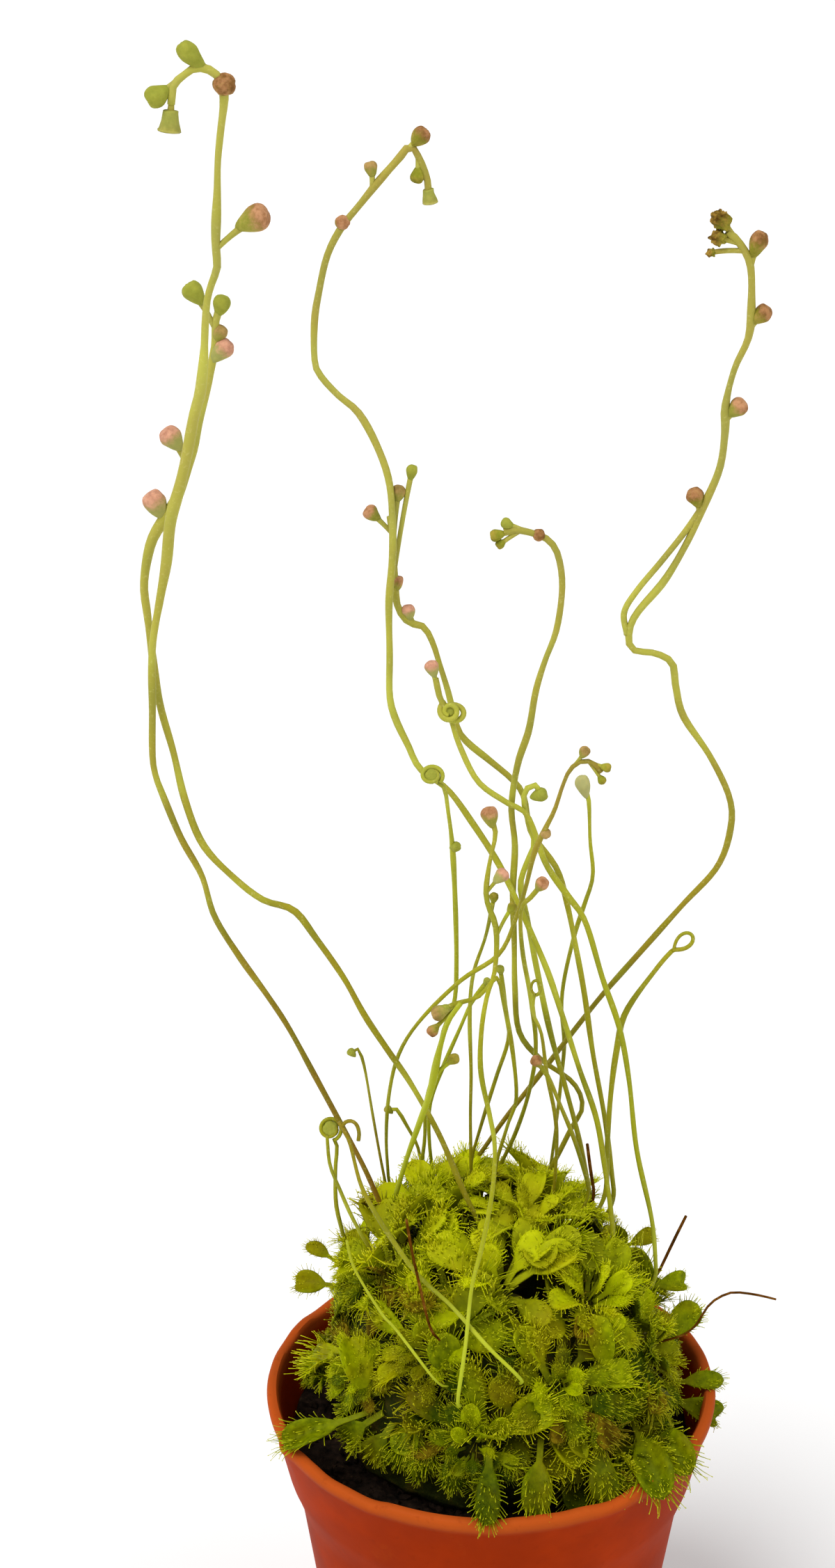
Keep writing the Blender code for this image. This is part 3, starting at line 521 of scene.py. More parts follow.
class Wire:
    """A node's output whose operators add Math nodes."""

    def __init__(self, surface, socket):
        self.surface = surface
        self.socket = socket

    def math(self, operation, first, second, clamp=False):
        settings = {"operation": operation, "use_clamp": clamp}
        return self.surface.node("ShaderNodeMath", settings, {0: first, 1: second})[0]

    def __add__(self, other):
        return self.math("ADD", self, other)

    def __sub__(self, other):
        return self.math("SUBTRACT", self, other)

    def __rsub__(self, other):
        return self.math("SUBTRACT", other, self)

    def __mul__(self, other):
        return self.math("MULTIPLY", self, other)

    __radd__ = __add__
    __rmul__ = __mul__

    def clamped(self):
        return self.math("ADD", self, 0.0, clamp=True)


class Surface:
    """A material and its one Principled shader."""

    def __init__(self, name, **constants):
        self.material = bpy.data.materials.new(name)
        self.material.use_nodes = True
        self.tree = self.material.node_tree
        self.shader = self.tree.nodes["Principled BSDF"]
        for socket, value in constants.items():
            self.shader.inputs[socket.replace("_", " ")].default_value = value

    def node(self, kind, settings=None, sockets=None):
        """Adds a node with its settings and its sockets' values or links; returns its outputs."""
        made = self.tree.nodes.new(kind)
        for name, value in (settings or {}).items():
            if name == "stops":
                self.set_stops(made.color_ramp, value)
            else:
                setattr(made, name, value)
        for key, value in (sockets or {}).items():
            self.put(made.inputs[key], value)
        return [Wire(self, output) for output in made.outputs]

    def set_stops(self, ramp, stops):
        while len(ramp.elements) < len(stops):
            ramp.elements.new(1.0)
        for element, (place, *screen) in zip(ramp.elements, stops):
            element.position = place
            element.color = photo_colour(*screen)

    def put(self, socket, value):
        if isinstance(value, Wire):
            self.tree.links.new(value.socket, socket)
        else:
            socket.default_value = value

    def feed(self, name, value):
        self.put(self.shader.inputs[name], value)

    def attribute(self, name):
        return self.node("ShaderNodeAttribute", {"attribute_name": name})[2]

    def place(self):
        return self.node("ShaderNodeTexCoord")[3]

    def height(self):
        return self.node("ShaderNodeSeparateXYZ", None, {0: self.place()})[2]

    def noise(self, scale, detail, rough):
        sockets = {"Vector": self.place(), "Scale": scale, "Detail": detail, "Roughness": rough}
        return self.node("ShaderNodeTexNoise", sockets=sockets)[0]

    def ramp(self, factor, *stops):
        """Runs through screen colours, each stop being its place and its three values."""
        return self.node("ShaderNodeValToRGB", {"stops": stops}, {0: factor})[0]

    def mix(self, factor, first, second):
        settings = {"data_type": "RGBA", "clamp_factor": True}
        return self.node("ShaderNodeMix", settings, {0: factor, 6: first, 7: second})[2]

    def tinge(self, colour, share, *screen):
        """Mixes a share of one screen colour into a colour."""
        return self.mix(share, colour, photo_colour(*screen))

    def step(self, value, low, high):
        settings = {"interpolation_type": "SMOOTHSTEP"}
        return self.node("ShaderNodeMapRange", settings, {0: value, 1: low, 2: high})[0]

    def bump(self, height, strength, distance):
        sockets = {"Strength": strength, "Distance": distance, "Height": height}
        self.feed("Normal", self.node("ShaderNodeBump", None, sockets)[0])


def pot_surface(settings):
    """Moulded plastic: a warm orange with cloudy tone, pale scuffs, a painted highlight along the lip and a
    fine grain.
    """
    surface = Surface("pot_plastic", Roughness=0.55, Specular_IOR_Level=0.02)
    cloud = surface.noise(55.0, 4.0, 0.6)
    speck = surface.noise(900.0, 2.0, 0.6)
    scuff = surface.step(surface.noise(160.0, 5.0, 0.7), 0.58, 0.8)
    # Painted highlight: this mask marks the rim's top few millimetres, which are tinted paler.
    lip = surface.step(surface.height(), RIM_HEIGHT - 2.6 * MM, RIM_HEIGHT - 0.9 * MM)
    base = surface.mix(surface.step(cloud, 0.35, 0.7), photo_colour(142, 40, 0), tuple(settings.colour))
    # The pale tinge is a painted highlight on the lip, plus real pale scuffs over the body.
    base = surface.tinge(base, lip * 0.5 + scuff * 0.15, 194, 96, 36)
    base = surface.tinge(base, surface.step(speck, 0.58, 0.75) * 0.18, 104, 28, 0)
    surface.feed("Base Color", base)
    surface.feed("Roughness", 0.44 + cloud * 0.16 + scuff * 0.12)
    surface.bump(speck * 0.6 + cloud * 0.8, 0.25, 0.12 * MM)
    return surface.material


def peat_surface():
    """Nearly black, fibrous growing medium."""
    surface = Surface("peat_medium", Roughness=0.95, Specular_IOR_Level=0.05)
    grain = surface.noise(700.0, 5.0, 0.7)
    surface.feed("Base Color", surface.ramp(grain, (0.35, 8, 6, 4), (0.6, 34, 24, 17), (0.78, 70, 50, 34)))
    surface.bump(grain, 0.8, 0.6 * MM)
    return surface.material


def spent_surface():
    """Matted old leaves: olive, brown and almost black."""
    surface = Surface("spent_leaves", Roughness=0.8, Specular_IOR_Level=0.1)
    patch = surface.noise(320.0, 4.0, 0.65)
    stops = ((0.3, 16, 19, 2), (0.5, 38, 44, 3), (0.66, 72, 60, 10), (0.8, 44, 26, 6))
    surface.feed("Base Color", surface.ramp(patch, *stops))
    surface.bump(patch, 0.9, 0.8 * MM)
    return surface.material


def clump_shades(surface):
    """Where the clump is yellowed in patches, and where it is shaded near the soil."""
    patch = surface.step(surface.noise(110.0, 2.0, 0.5), 0.42, 0.66)
    # Painted shade: this mask grows towards the soil.
    low = surface.step(surface.height(), RIM_HEIGHT + 16 * MM, RIM_HEIGHT - 4 * MM)
    return patch, low


def leaf_surface(settings):
    """A living leaf: tinted leaf by leaf, partly as painted shade, paler down its stalk, mottled, waxy, with
    painted shade near the soil and painted light on the clump's top.
    """
    surface = Surface("sundew_leaf", Roughness=0.55, Specular_IOR_Level=0.03, Subsurface_Weight=0.25,
                      Subsurface_Scale=0.6 * MM, Subsurface_Radius=(0.7, 0.9, 0.05))
    tint = surface.attribute("tint")
    along = surface.attribute("along")
    dry = surface.attribute("dry")
    mottle = surface.noise(900.0, 3.0, 0.6)
    patch, low = clump_shades(surface)
    light = surface.step(tint + (mottle - 0.5) * 0.8, 0.0, 1.15)
    green = surface.mix(light, tuple(settings.dark), tuple(settings.bright))
    green = surface.tinge(green, patch * 0.5, 140, 118, 2)
    green = surface.tinge(green, surface.step(along, 0.5, 0.15) * 0.4, 150, 152, 26)
    green = surface.tinge(green, surface.step(along, 0.9, 1.0) * 0.25, 188, 190, 24)
    # Painted shade: darker green low on the clump, near the soil.
    green = surface.tinge(green, low * 0.4, 52, 66, 0)
    # Painted light: leaves high on the clump are tinted paler and more yellow.
    high = surface.step(surface.height(), RIM_HEIGHT + 16 * MM, RIM_HEIGHT + 32 * MM)
    green = surface.tinge(green, high * 0.5, 206, 206, 24)
    brown = surface.mix(surface.step(mottle, 0.35, 0.65), photo_colour(78, 56, 4), photo_colour(132, 108, 14))
    surface.feed("Base Color", surface.mix(dry, green, brown))
    surface.feed("Roughness", 0.42 + mottle * 0.2 + dry * 0.3)
    surface.bump(mottle, 0.35, 0.2 * MM)
    return surface.material


def hair_surface(settings):
    """The sticky hairs: the leaf's green at the root, with painted shade near the soil, clear straw at the
    tip.
    """
    surface = Surface("sticky_hair", Roughness=0.3, Specular_IOR_Level=0.05, Subsurface_Weight=0.25,
                      Subsurface_Scale=0.3 * MM, Subsurface_Radius=(1.0, 0.9, 0.1))
    along = surface.attribute("along")
    tint = surface.attribute("tint")
    dry = surface.attribute("dry")
    patch, low = clump_shades(surface)
    root = surface.mix(tint, photo_colour(74, 94, 0), photo_colour(206, 214, 0))
    root = surface.tinge(root, patch * 0.45, 168, 142, 0)
    # Painted shade: hair roots darker low on the clump, near the soil.
    root = surface.tinge(root, low * 0.3, 76, 90, 0)
    tip = surface.step(along, 0.45, 1.0) * (0.3 + tint * 0.3)
    colour = surface.mix(tip, root, tuple(settings.hair))
    surface.feed("Base Color", surface.tinge(colour, dry * 0.6, 112, 84, 20))
    surface.feed("Roughness", 0.3 + along * 0.1)
    return surface.material


def stem_surface(settings):
    """Flower stems: yellow green to brown by age, with fine streaks, a soft bloom, painted shade low down and
    painted light higher up.
    """
    surface = Surface("flower_stem", Roughness=0.5, Specular_IOR_Level=0.15, Subsurface_Weight=0.15,
                      Subsurface_Scale=0.4 * MM, Subsurface_Radius=(0.8, 1.0, 0.2))
    tone = surface.attribute("tone")
    mottle = surface.noise(420.0, 4.0, 0.6)
    fine = surface.noise(2600.0, 2.0, 0.6)
    shade = (tone + (mottle - 0.5) * 0.45).clamped()
    colour = surface.mix(shade, tuple(settings.green), tuple(settings.brown))
    olive = surface.step(surface.noise(140.0, 2.0, 0.5), 0.4, 0.7)
    colour = surface.tinge(colour, olive * 0.5, 112, 118, 14)
    glow = surface.step(surface.noise(75.0, 2.0, 0.5), 0.5, 0.68)
    colour = surface.tinge(colour, glow * (1 - shade) * 0.6, 200, 204, 66)
    colour = surface.tinge(colour, surface.step(fine, 0.55, 0.75) * 0.3, 214, 206, 132)
    height = surface.height()
    # Painted shade: stems grow darker low down, among the others near the leaves, less so where fresh or
    # brown.
    low = surface.step(height, RIM_HEIGHT + 80 * MM, RIM_HEIGHT + 25 * MM)
    fresh = surface.step(tone, 0.0, -0.5)
    deep = low * (0.1 + 0.4 * mottle) * (1 - fresh) * (1 - shade * 0.9)
    colour = surface.tinge(colour, deep, 84, 88, 4)
    # Painted light: stems grow paler higher up, clear of the clump.
    high = surface.step(height, RIM_HEIGHT + 50 * MM, RIM_HEIGHT + 140 * MM)
    colour = surface.tinge(colour, high * (0.2 + 0.4 * mottle) * (1 - shade * 0.7), 208, 200, 116)
    colour = surface.tinge(colour, fresh * 0.85, 172, 184, 34)
    surface.feed("Base Color", colour)
    surface.feed("Roughness", 0.42 + fine * 0.2)
    surface.bump(fine + mottle, 0.3, 0.08 * MM)
    return surface.material


def bud_surface():
    """Flower buds: green at the foot, flushed pink or brown by kind, downy."""
    surface = Surface("flower_bud", Roughness=0.6, Specular_IOR_Level=0.06, Subsurface_Weight=0.2,
                      Subsurface_Scale=0.6 * MM, Subsurface_Radius=(1.0, 0.6, 0.35))
    rise, pink, brown, pale = [surface.attribute(name) for name in BUD_LAYERS]
    mottle = surface.noise(1100.0, 4.0, 0.65)
    patch = surface.step(mottle, 0.35, 0.65)
    green = surface.mix(mottle, photo_colour(118, 126, 16), photo_colour(172, 174, 62))
    flush = surface.step(rise + (mottle - 0.5) * 0.7, 0.25, 0.75)
    rosy = surface.step(mottle, 0.3, 0.7)
    blush = surface.mix(rosy, photo_colour(176, 90, 70), photo_colour(224, 154, 128))
    colour = surface.mix(flush * pink, green, blush)
    umber = surface.mix(patch, photo_colour(104, 60, 34), photo_colour(166, 112, 76))
    straw = surface.mix(patch, photo_colour(84, 58, 12), photo_colour(164, 130, 54))
    umber = surface.mix(surface.step(pink, 0.1, 0.4), straw, umber)
    colour = surface.mix(brown * (0.45 + 0.55 * flush), colour, umber)
    surface.feed("Base Color", surface.tinge(colour, pale * 0.35, 224, 214, 180))
    surface.feed("Roughness", 0.5 + mottle * 0.25)
    surface.bump(mottle, 0.5, 0.2 * MM)
    return surface.material


def stalk_surface():
    """Old stalks: dry, reddish brown and split along their length."""
    surface = Surface("dry_stalk", Roughness=0.8, Specular_IOR_Level=0.0)
    mottle = surface.noise(600.0, 4.0, 0.65)
    stops = ((0.3, 44, 26, 4), (0.55, 94, 54, 10), (0.75, 140, 96, 38))
    surface.feed("Base Color", surface.ramp(mottle, *stops))
    surface.bump(mottle, 0.6, 0.1 * MM)
    return surface.material


def floor_surface():
    """A plain, pale, matt floor."""
    surface = Surface("pale_floor", Roughness=0.9)
    tone = surface.noise(2.0, 2.0, 0.5)
    surface.feed("Base Color", surface.mix(tone, (0.9, 0.9, 0.9, 1.0), (0.94, 0.94, 0.93, 1.0)))
    return surface.material


def mesh_of(bm, name):
    """Turns a bmesh into a mesh and frees it."""
    mesh = bpy.data.meshes.new(name)
    bm.to_mesh(mesh)
    bm.free()
    return mesh


def add_object(name, data):
    """Adds an object to the scene."""
    made = bpy.data.objects.new(name, data)
    bpy.context.scene.collection.objects.link(made)
    return made


def finish_piece(name, bm, materials, nodes=(), smooth=True):
    """Makes a piece of a bmesh, rides it on the root and hides the CAD parts that it stands for."""
    mesh = mesh_of(bm, name)
    for material in materials:
        mesh.materials.append(material)
    if smooth:
        mesh.shade_smooth()
    piece = add_object(name, mesh)
    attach(piece, "root")
    if nodes:
        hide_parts(*nodes)
    return piece


def clamp(value):
    return min(1.0, max(0.0, value))


def heading(around):
    """The level direction at an angle from +X."""
    return Vector((math.cos(around), math.sin(around), 0.0))


def placing(place, turn):
    """The matrix that turns a shape and moves it to a place."""
    return Matrix.Translation(place) @ turn.to_matrix().to_4x4()


def jitter(draw, span, count):
    return [draw.uniform(-span, span) for _ in range(count)]


def turned(profile, steps):
    """A closed solid: a profile of (radius, height) points, from axis to axis, spun about the pot's axis."""
    bm = bmesh.new()
    verts = [bm.verts.new((radius, 0.0, height)) for radius, height in profile]
    edges = [bm.edges.new(pair) for pair in zip(verts, verts[1:])]
    bmesh.ops.spin(bm, geom=verts + edges, cent=(0, 0, 0), axis=(0, 0, 1), angle=FULL_TURN, steps=steps,
                   use_merge=True)
    bmesh.ops.remove_doubles(bm, verts=bm.verts, dist=0.01 * MM)
    return bm


def spot(px, py, depth):
    """The point at a photograph pixel on the upright plane at a depth in metres."""
    across = (px - FRAME_WIDTH / 2) / FOCAL_PIXELS
    raised = (FRAME_HEIGHT / 2 - py) / FOCAL_PIXELS
    ray = AHEAD + VIEW_UP * raised + Vector((across, 0.0, 0.0))
    return EYE + ray * ((depth - EYE.y) / ray.y)


def pixel_of(point):
    """The photograph pixel where a point shows."""
    away = point - EYE
    scale = FOCAL_PIXELS / away.dot(AHEAD)
    return FRAME_WIDTH / 2 + away.x * scale, FRAME_HEIGHT / 2 - away.dot(VIEW_UP) * scale


def in_hollow(point):
    """How deep in one of the dark hollows a point of the mound's front shows, from 0 to 1."""
    if point.y > HOLLOW_BACK:
        return 0.0
    px, py = pixel_of(point)
    depths = [1 - math.hypot((px - x) / wide, (py - y) / high) for (x, y), (wide, high) in HOLLOWS]
    return max(0.0, *depths)


def mound_depth(px, py, grow):
    """The depth where the line of sight through a pixel meets, or passes, the cushion grown by a distance."""
    ray = (spot(px, py, 0.0) - EYE).normalized()
    squash = Vector((1 / (CUSHION_RADIUS + grow), 1 / (CUSHION_RADIUS + grow), 1 / (CUSHION_RISE + grow)))
    start = (EYE - RIM_MIDDLE) * squash
    step = ray * squash
    middle = -start.dot(step) / step.dot(step)
    inside = middle**2 - (start.dot(start) - 1) / step.dot(step)
    return (EYE + ray * (middle - math.sqrt(max(0.0, inside)))).y


def smooth_pixels(route, step):
    """Even points on a smooth curve through a route's pixels, about a step apart in metres."""
    points = np.array(route, float)
    ends = np.vstack([2 * points[0] - points[1], points, 2 * points[-1] - points[-2]])
    fine = []
    for a, b, c, d in zip(ends, ends[1:], ends[2:], ends[3:]):
        for t in np.linspace(0, 1, CURVE_STEPS, endpoint=False):
            fine.append(0.5 * (2 * b + (c - a) * t + (2 * a - 5 * b + 4 * c - d) * t**2
                               + (3 * b - a - 3 * c + d) * t**3))
    fine = np.array(fine + [points[-1]])
    run = np.concatenate([[0], np.cumsum(np.linalg.norm(np.diff(fine, axis=0), axis=1))])
    count = max(4, int(round(run[-1] / (step * PIXELS_PER_METRE))) + 1)
    at = np.linspace(0, run[-1], count)
    return np.column_stack([np.interp(at, run, fine[:, 0]), np.interp(at, run, fine[:, 1])])


def settle_depths(pixels, depths, widths):
    """Moves stems that would touch apart, along the line of sight only, as the CAD does."""
    names = list(pixels)
    owner = np.concatenate([np.full(len(pixels[name]), index) for index, name in enumerate(names)])
    flat = np.vstack([pixels[name] for name in names])
    depth = np.concatenate([depths[name] for name in names])
    width = np.concatenate([np.full(len(pixels[name]), widths[name]) for name in names])
    order = np.sign(owner[:, None] - owner[None, :])
    for _ in range(SETTLE_ROUNDS):
        place = np.array([spot(px, py, y) for (px, py), y in zip(flat, depth)])
        apart = place[:, None, :] - place[None, :, :]
        need = (width[:, None] + width[None, :]) / 2 + STEM_CLEARANCE
        beside = np.hypot(apart[:, :, 0], apart[:, :, 2])
        reach = np.sqrt(np.clip((need + STEM_STEP / 4) ** 2 - beside**2, 0, None))
        short = np.clip(np.minimum(reach, need) - np.abs(apart[:, :, 1]), 0, None)
        short[owner[:, None] == owner[None, :]] = 0
        if short.max() < SETTLED:
            break
        push = short * np.where(apart[:, :, 1] != 0, np.sign(apart[:, :, 1]), order)
        strongest = np.take_along_axis(push, np.abs(push).argmax(1)[:, None], 1)[:, 0]
        for index in range(len(names)):
            mine = owner == index
            shove = strongest[mine]
            spread = np.convolve(np.pad(shove, 2, mode="edge"), SETTLE_SPREAD, "valid")
            depth[mine] += SETTLE_SHARE * np.where(np.abs(spread) > np.abs(shove), spread, shove)
    return {name: depth[owner == index] for index, name in enumerate(names)}


def stem_lines():
    """Each stem's finely stepped centre line, on the same course as its CAD solid."""
    pixels, depths, widths = {}, {}, {}
    for name, stem in STEMS.items():
        tip, foot = stem["depth"]
        pixels[name] = smooth_pixels(stem["route"], STEM_STEP)
        depths[name] = (tip + (foot - tip) * np.linspace(0, 1, len(pixels[name]))) * MM
        widths[name] = stem["width"] * MM
    depths = settle_depths(pixels, depths, widths)
    window = np.ones(2 * DEPTH_SMOOTHING + 1) / (2 * DEPTH_SMOOTHING + 1)
    lines = {}
    for name, stem in STEMS.items():
        fine = smooth_pixels(stem["route"], FINE_STEP)
        shares = np.linspace(0, 1, len(fine))
        course = np.interp(shares, np.linspace(0, 1, len(depths[name])), depths[name])
        course = np.convolve(np.pad(course, DEPTH_SMOOTHING, mode="edge"), window, "valid")
        lines[name] = [spot(px, py, y) for (px, py), y in zip(fine, course)]
    return lines


def layers(bm, names):
    """The float layers of these names on the vertices, made where they are missing."""
    return [bm.verts.layers.float.get(name) or bm.verts.layers.float.new(name) for name in names]


def start_ring(bm, place, turn, sides, radius):
    """A disc that a stem or a hair grows from; returns its vertices and its edges."""
    ring = bmesh.ops.create_circle(bm, cap_ends=True, segments=sides, radius=radius,
                                   matrix=placing(place, turn))["verts"]
    return ring, list({edge for vert in ring for edge in vert.link_edges})


def grow_ring(bm, edges):
    """Extrudes a ring of edges; returns the new ring's vertices and edges."""
    grown = bmesh.ops.extrude_edge_only(bm, edges=edges)["geom"]
    verts = [item for item in grown if isinstance(item, bmesh.types.BMVert)]
    edges = [item for item in grown if isinstance(item, bmesh.types.BMEdge)
             and item.verts[0] in verts and item.verts[1] in verts]
    return verts, edges


def close_tube(bm, edges, verts, slot):
    """Caps a tube's last ring, turns its faces outwards and gives them a material slot."""
    bmesh.ops.edgeloop_fill(bm, edges=edges)
    faces = list({face for vert in verts for face in vert.link_faces})
    for face in faces:
        face.material_index = slot
    bmesh.ops.recalc_face_normals(bm, faces=faces)


def sweep(bm, points, radii, sides, paint):
    """Runs a ring along points, closing both ends; paint(vertex, share) colours each new vertex."""
    tangents = [(b - a).normalized() for a, b in zip(points, points[1:])]
    tangents.append(tangents[-1])
    tangents = [tangents[0]] + [(a + b).normalized() for a, b in zip(tangents, tangents[1:])]
    made, edges = start_ring(bm, points[0], UP.rotation_difference(tangents[0]), sides, radii[0])
    for vert in made:
        paint(vert, 0.0)
    for index in range(1, len(points)):
        verts, edges = grow_ring(bm, edges)
        swing = tangents[index - 1].rotation_difference(tangents[index])
        scale = Matrix.Scale(radii[index] / radii[index - 1], 4)
        move = placing(points[index], swing) @ scale @ Matrix.Translation(-points[index - 1])
        bmesh.ops.transform(bm, matrix=move, verts=verts)
        for vert in verts:
            paint(vert, index / (len(points) - 1))
        made += verts
    close_tube(bm, edges, made, STEM_SLOT)


def bud_outline(kind, start, share, groove, seed):
    """A bud's width and height at a point of the ball that it is shaped from."""
    z = start.z
    if kind == "bell":
        flare = 0.62 + 0.42 * share**1.5
        wide = flare / max(0.35, math.sqrt(max(0.0, 1 - z * z))) if share < 0.93 else 1.0
        wide = min(wide, 2.6) * (1.0 if z < 0.75 else 0.95)
        return wide, min(z, 0.72) - max(0.0, z - 0.72) * 1.4
    if kind == "dry":
        crumple = noise.noise(start * 2.6 + Vector((seed, 0, 0)))
        return 0.85 + 0.5 * crumple, z * (0.9 + 0.4 * crumple)
    foot = max(0.0, -z - 0.1) / 0.9
    dimple = max(0.0, z - 0.78) / 0.22
    high = z - 0.16 * dimple**1.4 * (1 - 0.45 * groove) - 0.45 * foot**1.5
    return (0.84 + 0.2 * share) * (1 - 0.22 * foot), high


def bud(bm, centre, direction, size, ratio, kind, seed):
    """One bud: five sepals folded over a rounded heart, or a drooping bell, or a withered knot."""
    rise, pink, brown, pale = layers(bm, BUD_LAYERS)
    flush, umber, light = BUD_KINDS[kind]
    made = bmesh.ops.create_uvsphere(bm, u_segments=24, v_segments=16, radius=1.0)["verts"]
    for vert in made:
        start = vert.co.copy()
        share = (start.z + 1) / 2
        around = math.atan2(start.y, start.x)
        groove = math.exp(-(math.sin(2.5 * around + 0.5 * start.z) / 0.3) ** 2)
        wide, high = bud_outline(kind, start, share, groove, seed)
        wide *= 1.0 - 0.1 * groove * (0.25 + 0.75 * share)
        lump = 1.0 + 0.1 * noise.noise(start * 1.4 + Vector((0, seed * 3.1, 0)))
        vert.co = Vector((start.x * wide, start.y * wide, high * ratio)) * lump * (size / 2)
        vert[rise] = share
        vert[pink] = flush
        vert[brown] = umber * (1.0 - 0.3 * groove)
        vert[pale] = light
    for face in {face for vert in made for face in vert.link_faces}:
        face.material_index = BUD_SLOT
    turn = UP.rotation_difference(direction) @ Quaternion(UP, seed * 1.7)
    bmesh.ops.transform(bm, matrix=placing(centre, turn), verts=made)


def coil_points(centre, start, size, ratio, turns, shrink, sense=1):
    """A spiral in a plane that faces the viewer, starting from the stem's tip."""
    to_eye = (EYE - centre).normalized()
    side = Vector((1.0, 0.0, 0.0))
    up = to_eye.cross(side).normalized()
    offset = start - centre
    first = math.atan2(offset.dot(up), offset.dot(side))
    steps = int(COIL_STEPS * turns)
    points = []
    for index in range(steps + 1):
        share = index / steps
        angle = first + sense * share * turns * FULL_TURN
        radius = size / 2 * (1 - shrink * share)
        lift = to_eye * (0.25 * MM * math.sin(share * math.pi * 1.3) + share * 0.55 * MM)
        points.append(centre + side * math.cos(angle) * radius + up * math.sin(angle) * radius * ratio + lift)
    return points


def add_coil(bm, kind, centre, start, size, ratio, radius, paint):
    """The curled tip of a young stem, with a tight bud at the heart of a coil or a knot."""
    turns, shrink, slim = COIL_KINDS[kind]
    tube = radius * slim
    points = coil_points(centre, start, size - 2 * tube, ratio, turns, shrink)
    if kind == "teardrop":
        shares = np.linspace(0, 1, len(points))
        points = [start.lerp(point, math.sin(math.pi * share) ** 0.7) for point, share in zip(points, shares)]
    radii = [tube * (1 - 0.3 * index / len(points)) for index in range(len(points))]
    sweep(bm, points, radii, FINE_SIDES, paint)
    if kind == "knot":
        beside = centre + Vector((0.5, 0.4, -0.5)) * MM
        second = coil_points(beside, start, size - 1.2 * tube, 0.8, 1.2, 0.5, sense=-1)
        sweep(bm, second, [tube * 0.9] * len(second), FINE_SIDES, paint)
    if kind in ("coil", "knot"):
        heart = (size - 2 * tube) * (0.8 if kind == "coil" else 0.62)
        bud(bm, centre, (EYE - centre).normalized(), heart, 0.6, "green", 3)


def nearest_point(line, px, py):
    """The point of a stem's line that shows nearest to a photograph pixel."""
    return min(line, key=lambda point: (point - spot(px, py, point.y)).length)


def meet_coil(stem, line):
    """The stem's line, cut back to where it meets the outside of the coil, ring or teardrop at its tip."""
    for px, py, width, ratio, kind in stem["buds"]:
        if kind in ("coil", "ring", "teardrop"):
            centre = spot(px, py, line[0].y)
            reach = width * 0.8 * MM if kind == "teardrop" else (width / 2 * max(1.0, ratio) - 0.3) * MM
            while (line[0] - centre).length < reach:
                line = line[1:]
            line = [centre + (line[0] - centre).normalized() * reach] + line
    return line


def tail_points(line):
    """The points that carry a stem on into the leaves, bending towards the clump's heart."""
    inward = (RIM_MIDDLE - line[-1]).normalized()
    onward = (line[-1] - line[-3]).normalized()
    points = [line[-1]]
    for step in range(TAIL_STEPS):
        share = min(1.0, (step + 1) / TAIL_STEPS * 1.5)
        points.append(points[-1] + (onward * (1 - share) + inward * share).normalized() * TAIL_STEP)
    return points[1:]


def swelling(stem, point):
    """How much thicker the stem is at a point, where two strands have grown together."""
    if "swell" not in stem:
        return 1.0
    low, high, factor = stem["swell"]
    share = clamp((point.z / MM - low) / (high - low))
    return 1 + (factor - 1) * math.sin(math.pi * share) ** 0.5


def stem_radii(stem, line, radius, joints):
    """The stem's radius at each point: slightly wavy, slim at both ends, thicker where a bud leaves it."""
    radii = []
    for index, point in enumerate(line):
        share = index / (len(line) - 1)
        wobble = 1 + 0.07 * math.sin(index * 0.37 + radius / MM * 9) + 0.04 * math.sin(index * 0.91)
        taper = 0.78 + 0.22 * min(1.0, share * 3) - 0.3 * max(0.0, share - 0.35) / 0.65
        joint = 1 + 0.3 * max([math.exp(-((index - at - 1) / 2.2) ** 2) for at in joints], default=0.0)
        radii.append(radius * taper * wobble * joint * swelling(stem, point))
    return radii


def add_strands(bm, strands, line, radius, paint):
    """Second strands that run beside a stem for a while and grow back into it."""
    for strand in strands:
        pixels = smooth_pixels(strand, FINE_STEP / 3)
        course = [spot(px, py, nearest_point(line, px, py).y) for px, py in pixels]
        sweep(bm, course, [radius * 0.85] * len(course), FINE_SIDES, lambda vert, share: paint(vert, 0.0))


def add_bud(bm, line, radius, pixel, size, ratio, kind, number, paint):
    """A bud close against its stem, or on a curved little stalk that flares under it."""
    nearest = nearest_point(line, *pixel)
    at = line.index(nearest)
    centre = spot(*pixel, nearest.y)
    away = (centre - nearest).length
    if away > size * 0.35:
        root = line[min(at + max(2, round(away * 1.1 / FINE_STEP)), len(line) - 1)]
        lean = (root + centre) / 2 + (nearest - root) * 0.12
        shares = np.linspace(0, 1, 9)
        course = [root.lerp(lean, t).lerp(lean.lerp(centre, t), t) for t in shares]
        slim = radius * 0.7
        flare = max(slim, size * 0.24) - slim
        sweep(bm, course, [slim + flare * t**3 for t in shares], FINE_SIDES, paint)
        direction = (centre - lean).normalized()
    elif at < 3:
        direction = (line[0] - line[min(3, len(line) - 1)]).normalized()
    else:
        direction = Vector((0.3, -0.8, 0.5))
    bud(bm, centre, direction, size, ratio, kind, number + at)


